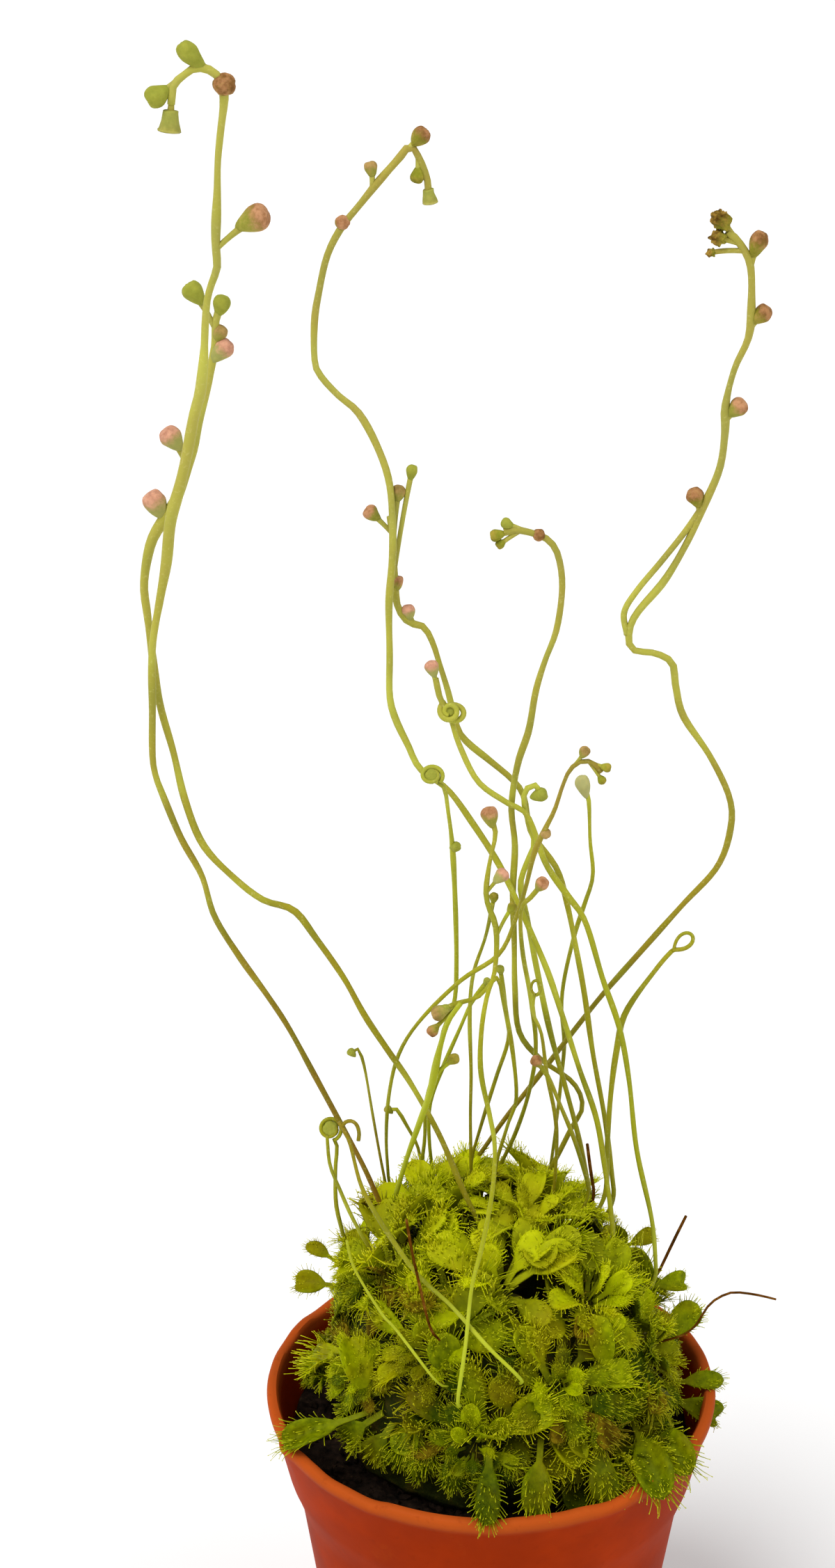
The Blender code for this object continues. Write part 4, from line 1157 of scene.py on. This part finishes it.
def build_stem(name, stem, line, materials, settings):
    """One flower stem or dried stalk, with its buds, coils and little bud stalks."""
    bm = bmesh.new()
    tone, *_ = layers(bm, ("tone", *BUD_LAYERS))
    tip_tone, middle_tone, foot_tone = stem["tone"]

    def paint(vert, share):
        if share < 0.5:
            vert[tone] = tip_tone + (middle_tone - tip_tone) * share * 2
        else:
            vert[tone] = middle_tone + (foot_tone - middle_tone) * (share - 0.5) * 2

    radius = stem["width"] * MM / 2
    line = meet_coil(stem, line)
    whole = line + tail_points(line)
    joints = [line.index(nearest_point(line, px, py)) for px, py, _, _, kind in stem["buds"]
              if kind not in COIL_KINDS]
    sweep(bm, whole, stem_radii(stem, whole, radius, joints), settings.sides, paint)
    add_strands(bm, stem.get("strands", ()), line, radius, paint)
    for number, (px, py, width, ratio, kind) in enumerate(stem["buds"]):
        if kind in COIL_KINDS:
            centre = spot(px, py, nearest_point(line, px, py).y)
            add_coil(bm, kind, centre, line[0], width * MM, ratio, radius, paint)
        else:
            add_bud(bm, line, radius, (px, py), width * MM, ratio, kind, number, paint)
    kind = "dry_stalk" if name.startswith("dry") else "flower_stem"
    return finish_piece(name + "_grown", bm, [materials[kind], materials["bud"]], [name])


def hair(bm, root, direction, length, thick, bend, along, rings=MARGIN_RINGS):
    """One sticky hair: a tapering stalk that bends, swollen near its end."""
    made, edges = start_ring(bm, root, UP.rotation_difference(direction), HAIR_SIDES, thick)
    for vert in made:
        vert[along] = 0.0
    for share, slim in rings:
        verts, edges = grow_ring(bm, edges)
        middle = sum((vert.co for vert in verts), Vector()) / HAIR_SIDES
        target = root + direction * length * share + bend * length * share**2
        for vert in verts:
            vert.co = target + (vert.co - middle) * slim
            vert[along] = share
        made += verts
    close_tube(bm, edges, made, HAIR_SLOT)


class LeafShape:
    """The course and outline of one unit-long leaf: a slim stalk and a spoon-shaped blade."""

    def __init__(self, draw, width, bend, cup, wave, fan):
        self.width = width
        self.widest = 0.7 + 0.1 * fan
        self.blade_back = 0.34 + 0.2 * fan
        self.cup = cup
        self.wave = wave
        self.phase = draw.uniform(0, 6.28)
        self.turn_over = draw.uniform(-0.25, 0.25)
        self.course = [Vector((0.0, 0.0, 0.0))]
        for index in range(COURSE_STEPS):
            angle = -bend * ((index + 0.5) / COURSE_STEPS) ** 1.6
            step = Vector((0.0, math.cos(angle), math.sin(angle))) / COURSE_STEPS
            self.course.append(self.course[-1] + step)

    def half_width(self, t):
        """Half the leaf's width at a share of its length."""
        stalk = 0.048 if t < 0.9 else 0.004
        if t < self.widest:
            back = min(1.0, (self.widest - t) / self.blade_back)
            blade = self.width / 2 * (1 - back**2) ** 0.8
        else:
            past = (t - self.widest) / (1 - self.widest)
            blade = self.width / 2 * math.sqrt(max(0.0, 1 - past**2.2))
        return max(blade, stalk)

    def point(self, u, t):
        """A point across, at -1 to 1, and along the leaf, at 0 to 1, with its normal and its direction."""
        place = t * (len(self.course) - 1)
        low = min(int(place), len(self.course) - 2)
        centre = self.course[low].lerp(self.course[low + 1], place - low)
        ahead = (self.course[low + 1] - self.course[low]).normalized()
        across = Vector((1.0, 0.0, 0.0))
        normal = across.cross(ahead).normalized()
        half = self.half_width(t)
        blade = clamp((t - 0.3) / 0.3)
        lift = self.cup * half * u * u * blade
        lift += self.wave * math.sin(7 * t + 3 * u + self.phase) * half * abs(u) * blade
        lift += self.turn_over * half * u * blade
        lean = (normal - across * (2 * self.cup * u) * blade).normalized()
        return centre + across * u * half + normal * lift, lean, ahead


def add_margin_hairs(bm, shape, draw, count, hair_length, along):
    """Hairs round the blade's margin, from its back on one side, over its tip, to its back on the other."""
    for index in range(count):
        share = (index + draw.uniform(0.1, 0.9)) / count
        side = -1 if share < 0.5 else 1
        reach = share * 2 if share < 0.5 else (1 - share) * 2
        root, normal, ahead = shape.point(side * 0.96, 0.42 + 0.575 * math.sin(reach * math.pi / 2))
        outward = Vector((side, 0.0, 0.0)) * math.cos(reach * 1.45) + ahead * math.sin(reach * 1.45)
        scatter = Vector(jitter(draw, 0.25, 3))
        direction = (outward + normal * draw.uniform(-0.1, 0.8) + scatter).normalized()
        length = hair_length * draw.uniform(0.65, 1.2) * (0.75 + 0.25 * reach)
        droop = normal * draw.uniform(-0.6, 0.25) + outward * 0.05
        hair(bm, root - direction * 0.01, direction, length, MARGIN_HAIR_RADIUS, droop, along)


def add_face_hairs(bm, shape, draw, count, hair_length, along):
    """Shorter hairs over the blade's upper face."""
    for _ in range(count):
        t = 0.4 + 0.58 * math.sqrt(draw.random())
        u = draw.uniform(-0.92, 0.92)
        root, normal, ahead = shape.point(u, t)
        scatter = Vector((*jitter(draw, 0.35, 2), 0.0))
        spread = ahead * draw.uniform(-0.1, 0.7) + Vector((u * 0.7, 0.0, 0.0))
        direction = (normal + spread + scatter).normalized()
        length = hair_length * draw.uniform(0.3, 0.8)
        droop = ahead * draw.uniform(-0.1, 0.6)
        hair(bm, root, direction, length, FACE_HAIR_RADIUS, droop, along, FACE_RINGS)


def leaf_template(index, width, bend, cup, hair_length, margin_hairs, face_hairs):
    """A unit-long leaf with its sticky hairs, kept as a mesh to be copied into the crowns."""
    draw = random.Random(100 + index)
    shape = LeafShape(draw, width, bend, cup, 0.16, (index % 4) / 3)
    bm = bmesh.new()
    along, *_ = layers(bm, LEAF_LAYERS)
    for vert in bmesh.ops.create_grid(bm, x_segments=5, y_segments=13, size=0.5)["verts"]:
        t = 1 - (1 - clamp(vert.co.y + 0.5)) ** 1.25
        vert.co = shape.point(vert.co.x * 2, t)[0]
        vert[along] = t
    bmesh.ops.remove_doubles(bm, verts=bm.verts, dist=0.0015)
    bmesh.ops.recalc_face_normals(bm, faces=bm.faces)
    bmesh.ops.solidify(bm, geom=bm.faces[:], thickness=LEAF_THICKNESS)
    bmesh.ops.recalc_face_normals(bm, faces=bm.faces)
    add_margin_hairs(bm, shape, draw, margin_hairs, hair_length, along)
    add_face_hairs(bm, shape, draw, face_hairs, hair_length, along)
    return mesh_of(bm, f"leaf_pattern_{index:02d}")


def leaf_templates():
    """The patterns that the crowns' leaves are copied from."""
    draw = random.Random(7)
    patterns = []
    for count, ranges, hairs in LEAF_PATTERNS:
        for _ in range(count):
            sizes = [draw.uniform(*span) for span in ranges]
            patterns.append(leaf_template(len(patterns), *sizes, *hairs))
    return patterns


def tuft_templates():
    """Tufts of fine bristles that fill the spaces between the crowns."""
    draw = random.Random(31)
    patterns = []
    for index in range(TUFT_PATTERNS):
        bm = bmesh.new()
        along, *_ = layers(bm, LEAF_LAYERS)
        for _ in range(TUFT_BRISTLES):
            flat = heading(draw.uniform(0, FULL_TURN))
            direction = (flat * draw.uniform(0.2, 1.5) + UP).normalized()
            root = flat * draw.uniform(0.0, 0.35)
            droop = (flat - UP * 0.4) * draw.uniform(0.0, 0.5)
            hair(bm, root, direction, draw.uniform(0.6, 1.1), BRISTLE_RADIUS, droop, along)
        patterns.append(mesh_of(bm, f"tuft_pattern_{index:02d}"))
    return patterns


def place_leaf(bm, pattern, matrix, tint, dry=0.0):
    """Copies one leaf pattern into a piece."""
    mesh = pattern.copy()
    mesh.transform(matrix)
    for name, value in (("tint", tint), ("dry", dry)):
        values = np.full(len(mesh.vertices), value, np.float32)
        mesh.attributes[name].data.foreach_set("value", values)
    bm.from_mesh(mesh)
    bpy.data.meshes.remove(mesh)


def leaf_matrix(base, direction, face, length, broad=1.0):
    """Places a unit leaf: from a base, along a direction, its upper side to a facing."""
    ahead = direction.normalized()
    across = ahead.cross(face)
    if across.length < 0.05:
        across = ahead.cross(Vector((1.0, 0.0, 0.0)))
    across.normalize()
    normal = across.cross(ahead)
    turn = Matrix((across, ahead, normal)).transposed().to_4x4()
    return Matrix.Translation(base) @ turn @ Matrix.Diagonal((length * broad, length, length, 1.0))


def crown_frames():
    """Each crown's middle and outward direction, from its CAD solid."""
    frames = []
    for name in sorted(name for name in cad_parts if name.startswith("rosette_")):
        low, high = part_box(name)
        middle = (low + high) / 2
        rise = middle.z - RIM_HEIGHT
        outward = Vector((middle.x / CUSHION_RADIUS**2, middle.y / CUSHION_RADIUS**2, rise / CUSHION_RISE**2))
        frames.append((name, middle, outward.normalized()))
    return frames


def soil_reach(point):
    """How far out a low leaf may reach at a point's bearing."""
    bearing = math.degrees(math.atan2(point.y, point.x))
    return float(np.interp(bearing, SOIL_BEARINGS, SOIL_REACH)) * MM


def mound_reach(tip):
    """How far out the mound's outline lets a tip reach at its height and bearing."""
    bearing = math.atan2(tip.y, tip.x)
    height = (tip.z - RIM_HEIGHT) / MM
    right = (1 + math.cos(bearing)) / 2
    left_reach = np.interp(height, MOUND_HEIGHTS, MOUND_LEFT)
    right_reach = np.interp(height, MOUND_HEIGHTS, MOUND_RIGHT)
    spill = SPILL_REACH * math.exp(-((math.degrees(bearing) - SPILL_BEARING) / SPILL_SPREAD) ** 2)
    spill *= max(0.0, 1 - abs(height) / SPILL_HEIGHT)
    return float(left_reach + (right_reach - left_reach) * right + spill) * MM


def over_soil(tip):
    """Whether a leaf's tip stays over the growing medium, or clears the rim."""
    inside = math.hypot(tip.x, tip.y) < soil_reach(tip)
    return tip.z > PEAT_HIGH.z + 1.0 * MM and (inside or tip.z > RIM_HEIGHT + 1.5 * MM)


def fit_leaf(base, direction, length):
    """Turns a low leaf up and shortens it until it fits the mound; None where it can't."""
    for _ in range(LIFT_TRIES):
        if over_soil(base + direction * length):
            break
        direction = (direction + UP * 0.2).normalized()
        length *= 0.95
    else:
        return None
    while length > SHORTEST_FITTED:
        tip = base + direction * length
        if math.hypot(tip.x, tip.y) < mound_reach(tip):
            break
        length *= 0.93
    if any(in_hollow(base + direction * length * share) > 0 for share in (0.6, 0.8, 1.0)):
        return None
    return direction, length


def fullness(middle):
    """How much longer the leaves are, for the mound's lopsided outline."""
    side = middle.x / CUSHION_RADIUS
    rise = (middle.z - RIM_HEIGHT) / CUSHION_RISE
    return 1.0 - 0.22 * side * min(1.0, max(0.0, rise) * 1.6)


def build_crown(name, middle, outward, patterns, materials, settings, draw):
    """One crown: leaves on a golden-angle spiral, upright within and spreading without."""
    bm = bmesh.new()
    heart = middle - outward * 1.6 * MM
    turn = UP.rotation_difference((outward + UP * 0.3).normalized())
    mood = draw.uniform(-0.22, 0.2)
    for index in range(settings.per_crown):
        share = (index + 0.5) / settings.per_crown
        flat = heading(index * GOLDEN_ANGLE + draw.uniform(-0.3, 0.3))
        rise = math.radians(78 - 62 * share**0.8 + draw.uniform(-14, 14))
        length = settings.shortest + (settings.longest - settings.shortest) * share**0.7
        length *= draw.uniform(0.8, 1.15) * fullness(middle)
        direction = turn @ (flat * math.cos(rise) + UP * math.sin(rise))
        upper = turn @ (UP * math.cos(rise) - flat * math.sin(rise))
        face = Quaternion(direction, draw.uniform(-0.5, 0.5)) @ upper
        base = heart + turn @ (flat * (0.5 + 1.8 * share) * MM)
        fitted = fit_leaf(base, direction, length)
        dry = 0.85 if share > 0.75 and draw.random() < 0.12 else 0.0
        height = (base.z - RIM_HEIGHT) / CUSHION_RISE
        # The tint is partly painted shade: leaves low on the cushion and the outer, spreading leaves of a
        # crown are darker. The crown's mood and the draw vary it at random.
        tint = 0.5 + 0.3 * height - 0.34 * share + mood + draw.uniform(-0.32, 0.4)
        smooth = draw.random() < 0.32 * clamp((height - 0.5) / 0.4) + 0.08
        pattern = draw.choice(patterns[STICKY_PATTERNS:] if smooth else patterns[:STICKY_PATTERNS])
        if fitted:
            matrix = leaf_matrix(base, fitted[0], face, fitted[1])
            place_leaf(bm, pattern, matrix, clamp(tint - 0.15 * smooth), dry)
    return finish_piece(name + "_grown", bm, materials, [name])


def build_lone_leaves(patterns, materials):
    """The single leaves that stand apart from their crowns."""
    bm = bmesh.new()
    for base, tip, lift, width, tint, number in LONE_LEAVES:
        start = spot(*base, mound_depth(*base, 1.0 * MM))
        reach = spot(*tip, mound_depth(*tip, lift * MM)) - start
        face = (EYE - start).normalized() + UP * 0.4
        broad = width * MM / reach.length / 0.5
        place_leaf(bm, patterns[number], leaf_matrix(start, reach, face, reach.length, broad), tint)
    finish_piece("lone_leaves", bm, materials)


def build_skirt(patterns, materials):
    """The low leaves round the clump's foot, which lean out over the soil."""
    draw = random.Random(59)
    bm = bmesh.new()
    for index in range(SKIRT_LEAVES):
        flat = heading(index * GOLDEN_ANGLE)
        base = flat * draw.uniform(14, 17) * MM + UP * (RIM_HEIGHT + draw.uniform(-2, 7) * MM)
        slope = math.radians(draw.uniform(-12, 42))
        swing = Quaternion(UP, draw.uniform(-0.5, 0.5))
        direction = swing @ (flat * math.cos(slope) + UP * math.sin(slope))
        face = UP + flat * draw.uniform(0.2, 0.9)
        fitted = fit_leaf(base, direction, draw.uniform(8.5, 12.5) * MM)
        if fitted:
            matrix = leaf_matrix(base, fitted[0], face, fitted[1])
            place_leaf(bm, draw.choice(patterns[:STICKY_PATTERNS]), matrix, draw.uniform(0.05, 0.6))
    finish_piece("skirt_leaves", bm, materials)


def build_tufts(patterns, materials):
    """Bristles over the cushion, between the crowns."""
    draw = random.Random(43)
    bm = bmesh.new()
    for index in range(TUFT_COUNT):
        rise = 1 - (index + 0.5) / TUFT_COUNT * 0.92
        outward = heading(index * GOLDEN_ANGLE) * math.sqrt(max(0.0, 1 - rise * rise)) + UP * rise
        place = Vector((outward.x * CUSHION_RADIUS, outward.y * CUSHION_RADIUS,
                        max(outward.z * CUSHION_RISE + RIM_HEIGHT, PEAT_HIGH.z)))
        if in_hollow(place) > 0:
            continue
        turn = UP.rotation_difference((outward + UP * 0.2).normalized())
        matrix = placing(place, turn) @ Matrix.Scale(draw.uniform(1.9, 3.2) * MM, 4)
        pattern = draw.choice(patterns)
        # A low tint, partly painted shade down between the crowns, that differs at random.
        place_leaf(bm, pattern, matrix, draw.uniform(0.0, 0.4), float(draw.random() < 0.2))
    finish_piece("cushion_bristles", bm, materials)


def pot_profile():
    """The pot's outline from the axis: its floor, up the inside, over the lip, down the outside, its base."""
    profile = [(0.0, FLOOR_THICKNESS * MM)]
    profile += [(BASE_RADIUS + out * MM, height * MM) for out, height in FOOT_INSIDE]
    for inward, down in INNER_WALL + LIP + COLLAR + SHOULDER:
        profile.append((RIM_RADIUS - inward * MM, RIM_HEIGHT - down * MM))
    profile += [(BASE_RADIUS + out * MM, height * MM) for out, height in FOOT_OUTSIDE]
    return profile + [(0.0, 0.0)]


def bend_rim(point, rim_wave):
    """A point of the pot with the thin rim's waves and dips, and with its moulding tab."""
    across = math.hypot(point.x, point.y)
    if across < 1 * MM:
        return point
    around = math.atan2(point.y, point.x)
    share = max(0.0, (point.z - WAVE_FOOT) / (RIM_HEIGHT - WAVE_FOOT))
    wave = math.sin(2 * around + 0.6) + 0.5 * math.sin(3 * around + 2.1) + 0.28 * math.sin(7 * around)
    apart = math.remainder(around - TAB_BEARING, FULL_TURN)
    tab = math.exp(-(apart / TAB_SPREAD) ** 2) * max(0.0, (point.z - TAB_FOOT) / (RIM_HEIGHT - TAB_FOOT))
    stretch = 1 + (rim_wave * wave * share**2 + TAB_SIZE * tab) / across
    dips = math.sin(5 * around + 1.0) + 0.8 * math.sin(11 * around + 0.4) + 0.5 * math.sin(23 * around)
    drop = max(0.0, RIM_DIP * dips) * share**6
    return Vector((point.x * stretch, point.y * stretch, point.z - drop))


def drain_tool():
    """Upright pegs where the drain holes go."""
    bm = bmesh.new()
    for index in range(DRAIN_HOLES):
        place = heading(FULL_TURN * (index + 0.25) / DRAIN_HOLES) * DRAIN_CIRCLE
        bmesh.ops.create_cone(bm, cap_ends=True, segments=32, radius1=DRAIN_RADIUS, radius2=DRAIN_RADIUS,
                              depth=6 * MM, matrix=Matrix.Translation(place))
    return add_object("drain_tool", mesh_of(bm, "drain_tool"))


class SUNDEW_OT_pot(bpy.types.Operator):
    """Model the nursery pot with its rim, shoulder and drain holes"""
    bl_idname = "sundew.pot"
    bl_label = "Pot"

    def execute(self, context):
        settings = context.scene.sundew_pot
        bm = turned(pot_profile(), settings.sides)
        for vert in bm.verts:
            vert.co = bend_rim(vert.co, settings.rim_wave)
        bmesh.ops.recalc_face_normals(bm, faces=bm.faces)
        material = pot_surface(settings)
        piece = finish_piece("pot_moulded", bm, [material], ["pot"])
        tool = drain_tool()
        cut = piece.modifiers.new("Drains", "BOOLEAN")
        cut.object = tool
        cut.operation = "DIFFERENCE"
        graph = context.evaluated_depsgraph_get()
        holed = bpy.data.meshes.new_from_object(piece.evaluated_get(graph))
        piece.modifiers.clear()
        piece.data = holed
        bpy.data.objects.remove(tool)
        holed.materials.clear()
        holed.materials.append(material)
        holed.shade_smooth()
        holed.set_sharp_from_angle(angle=math.radians(40))
        return {"FINISHED"}


def add_crumb(bm, draw, top):
    """One crumb of growing medium, lying on its surface near the edge."""
    flat = heading(draw.uniform(0, FULL_TURN))
    across = draw.uniform(18 * MM, PEAT_HIGH.x - 0.9 * MM)
    size = draw.uniform(*CRUMB_SIZES) * MM
    place = flat * across + UP * (top + draw.uniform(0, 0.5) * MM)
    axis = Vector((draw.random(), draw.random(), draw.random() + 0.1)).normalized()
    turn = Quaternion(axis, draw.uniform(0, 6))
    stretch = Matrix.Diagonal((draw.uniform(0.6, 1.8), draw.uniform(0.5, 1.1), 0.6, 1.0))
    for vert in bmesh.ops.create_icosphere(bm, subdivisions=1, radius=size,
                                           matrix=placing(place, turn) @ stretch)["verts"]:
        vert.co += Vector(jitter(draw, 1, 3)) * size * 0.22


class SUNDEW_OT_peat(bpy.types.Operator):
    """Model the dark, crumbly growing medium"""
    bl_idname = "sundew.peat"
    bl_label = "Growing medium"

    def execute(self, context):
        draw = random.Random(21)
        top = PEAT_HIGH.z - PEAT_DIP
        edge, bottom = PEAT_HIGH.x, PEAT_LOW.z
        profile = [(0.0, top)] + [(edge * share, top) for share in np.linspace(0.06, 1.0, 22)]
        profile += [(edge - 1.2 * MM, top - 8 * MM), (19 * MM, bottom + 1.5 * MM)]
        profile += [(17 * MM, bottom), (0.0, bottom)]
        bm = turned(profile, 120)
        for vert in bm.verts:
            if vert.co.z > top - 0.01 * MM:
                vert.co.z += noise.fractal(vert.co * 260, 1.0, 2.0, 4) * PEAT_LUMPS
        bmesh.ops.recalc_face_normals(bm, faces=bm.faces)
        for _ in range(CRUMB_COUNT):
            add_crumb(bm, draw, top)
        finish_piece("peat_loose", bm, [peat_surface()], ["peat"], smooth=False)
        return {"FINISHED"}


class SUNDEW_OT_cushion(bpy.types.Operator):
    """Model the dome of spent leaves under the crowns"""
    bl_idname = "sundew.cushion"
    bl_label = "Spent leaves"

    def execute(self, context):
        scale = Vector((CUSHION_RADIUS, CUSHION_RADIUS, CUSHION_RISE))
        bm = bmesh.new()
        bmesh.ops.create_icosphere(bm, subdivisions=5, radius=1.0)
        for vert in bm.verts:
            lump = 1.0 + 0.05 * noise.fractal(vert.co * 5.0, 1.0, 2.0, 5)
            out = vert.co * scale * lump
            out *= 1 - HOLLOW_DEPTH * min(1.0, 2 * in_hollow(RIM_MIDDLE + out))
            vert.co = RIM_MIDDLE + out
            vert.co.z = max(vert.co.z, CUSHION_LOW.z)
        bmesh.ops.recalc_face_normals(bm, faces=bm.faces)
        finish_piece("spent_cushion", bm, [spent_surface()], ["leaf_cushion"])
        return {"FINISHED"}


class SUNDEW_OT_crowns(bpy.types.Operator):
    """Model every crown of sticky leaves, the leaves that stand apart and the bristles between"""
    bl_idname = "sundew.crowns"
    bl_label = "Leaf crowns"

    def execute(self, context):
        settings = context.scene.sundew_leaf
        materials = [leaf_surface(settings), hair_surface(settings)]
        patterns = leaf_templates()
        tufts = tuft_templates()
        draw = random.Random(11)
        for name, middle, outward in crown_frames():
            build_crown(name, middle, outward, patterns, materials, settings, draw)
        build_lone_leaves(patterns, materials)
        build_skirt(patterns, materials)
        build_tufts(tufts, materials)
        for pattern in patterns + tufts:
            bpy.data.meshes.remove(pattern)
        return {"FINISHED"}


class SUNDEW_OT_stems(bpy.types.Operator):
    """Model the flower stems with their buds, and the dried stalks"""
    bl_idname = "sundew.stems"
    bl_label = "Flower stems"

    def execute(self, context):
        settings = context.scene.sundew_stem
        materials = {
            "flower_stem": stem_surface(settings),
            "dry_stalk": stalk_surface(),
            "bud": bud_surface(),
        }
        for name, line in stem_lines().items():
            build_stem(name, STEMS[name], line, materials, settings)
        return {"FINISHED"}


def add_sun(name, place, strength, spread):
    """A soft light that shines on the pot from a place."""
    light = bpy.data.lights.new(name, "SUN")
    light.energy = strength
    light.angle = math.radians(spread)
    lamp = add_object(name, light)
    lamp.location = place
    lamp.rotation_euler = (-Vector(place)).to_track_quat("-Z", "Y").to_euler()


class SUNDEW_OT_stage(bpy.types.Operator):
    """Set the floor, the soft lights and the camera"""
    bl_idname = "sundew.stage"
    bl_label = "Stage"

    def execute(self, context):
        settings = context.scene.sundew_stage
        scene = context.scene
        bm = bmesh.new()
        bmesh.ops.create_grid(bm, x_segments=1, y_segments=1, size=settings.floor_width / 2)
        mesh = mesh_of(bm, "floor")
        mesh.materials.append(floor_surface())
        add_object("floor", mesh)
        world = bpy.data.worlds.new("surround")
        world.use_nodes = True
        backdrop = world.node_tree.nodes["Background"]
        backdrop.inputs["Color"].default_value = (1.0, 1.0, 1.0, 1.0)
        backdrop.inputs["Strength"].default_value = settings.sky
        scene.world = world
        add_sun("key", (-0.5, -0.45, 1.0), settings.key, 40)
        add_sun("fill", (0.8, -0.3, 0.6), settings.fill, 60)
        camera = add_object("camera", bpy.data.cameras.new("camera"))
        camera.location = EYE
        camera.rotation_euler = (math.pi / 2 - VIEW_DOWN, 0.0, 0.0)
        camera.data.sensor_width = SENSOR
        camera.data.lens = SENSOR * FOCAL_PIXELS / FRAME_HEIGHT
        camera.data.clip_start = 0.01
        scene.camera = camera
        scene.view_settings.view_transform = "Standard"
        return {"FINISHED"}


class SUNDEW_PT_sidebar(bpy.types.Panel):
    """Lists the pieces and their settings in the sidebar"""
    bl_label = "Sundew"
    bl_idname = "SUNDEW_PT_sidebar"
    bl_space_type = "VIEW_3D"
    bl_region_type = "UI"
    bl_category = "Sundew"

    def draw(self, context):
        for operator in OPERATORS:
            self.layout.operator(operator.bl_idname)
        for settings in SETTINGS:
            group = getattr(context.scene, settings)
            for name in group.bl_rna.properties.keys():
                if name not in ("rna_type", "name"):
                    self.layout.prop(group, name)


SETTINGS = {
    "sundew_pot": PotSettings,
    "sundew_leaf": LeafSettings,
    "sundew_stem": StemSettings,
    "sundew_stage": StageSettings,
}
OPERATORS = (
    SUNDEW_OT_stage, SUNDEW_OT_pot, SUNDEW_OT_peat, SUNDEW_OT_cushion, SUNDEW_OT_stems, SUNDEW_OT_crowns,
)


def register():
    for group in SETTINGS.values():
        bpy.utils.register_class(group)
    for operator in OPERATORS:
        bpy.utils.register_class(operator)
    bpy.utils.register_class(SUNDEW_PT_sidebar)
    for name, group in SETTINGS.items():
        setattr(bpy.types.Scene, name, PointerProperty(type=group))


def unregister():
    for name in SETTINGS:
        delattr(bpy.types.Scene, name)
    bpy.utils.unregister_class(SUNDEW_PT_sidebar)
    for operator in reversed(OPERATORS):
        bpy.utils.unregister_class(operator)
    for group in SETTINGS.values():
        bpy.utils.unregister_class(group)


def main():
    register()
    bpy.ops.sundew.stage()
    bpy.ops.sundew.pot()
    bpy.ops.sundew.peat()
    bpy.ops.sundew.cushion()
    bpy.ops.sundew.stems()
    bpy.ops.sundew.crowns()
    bpy.context.view_layer.update()


if __name__ == "__main__":
    main()
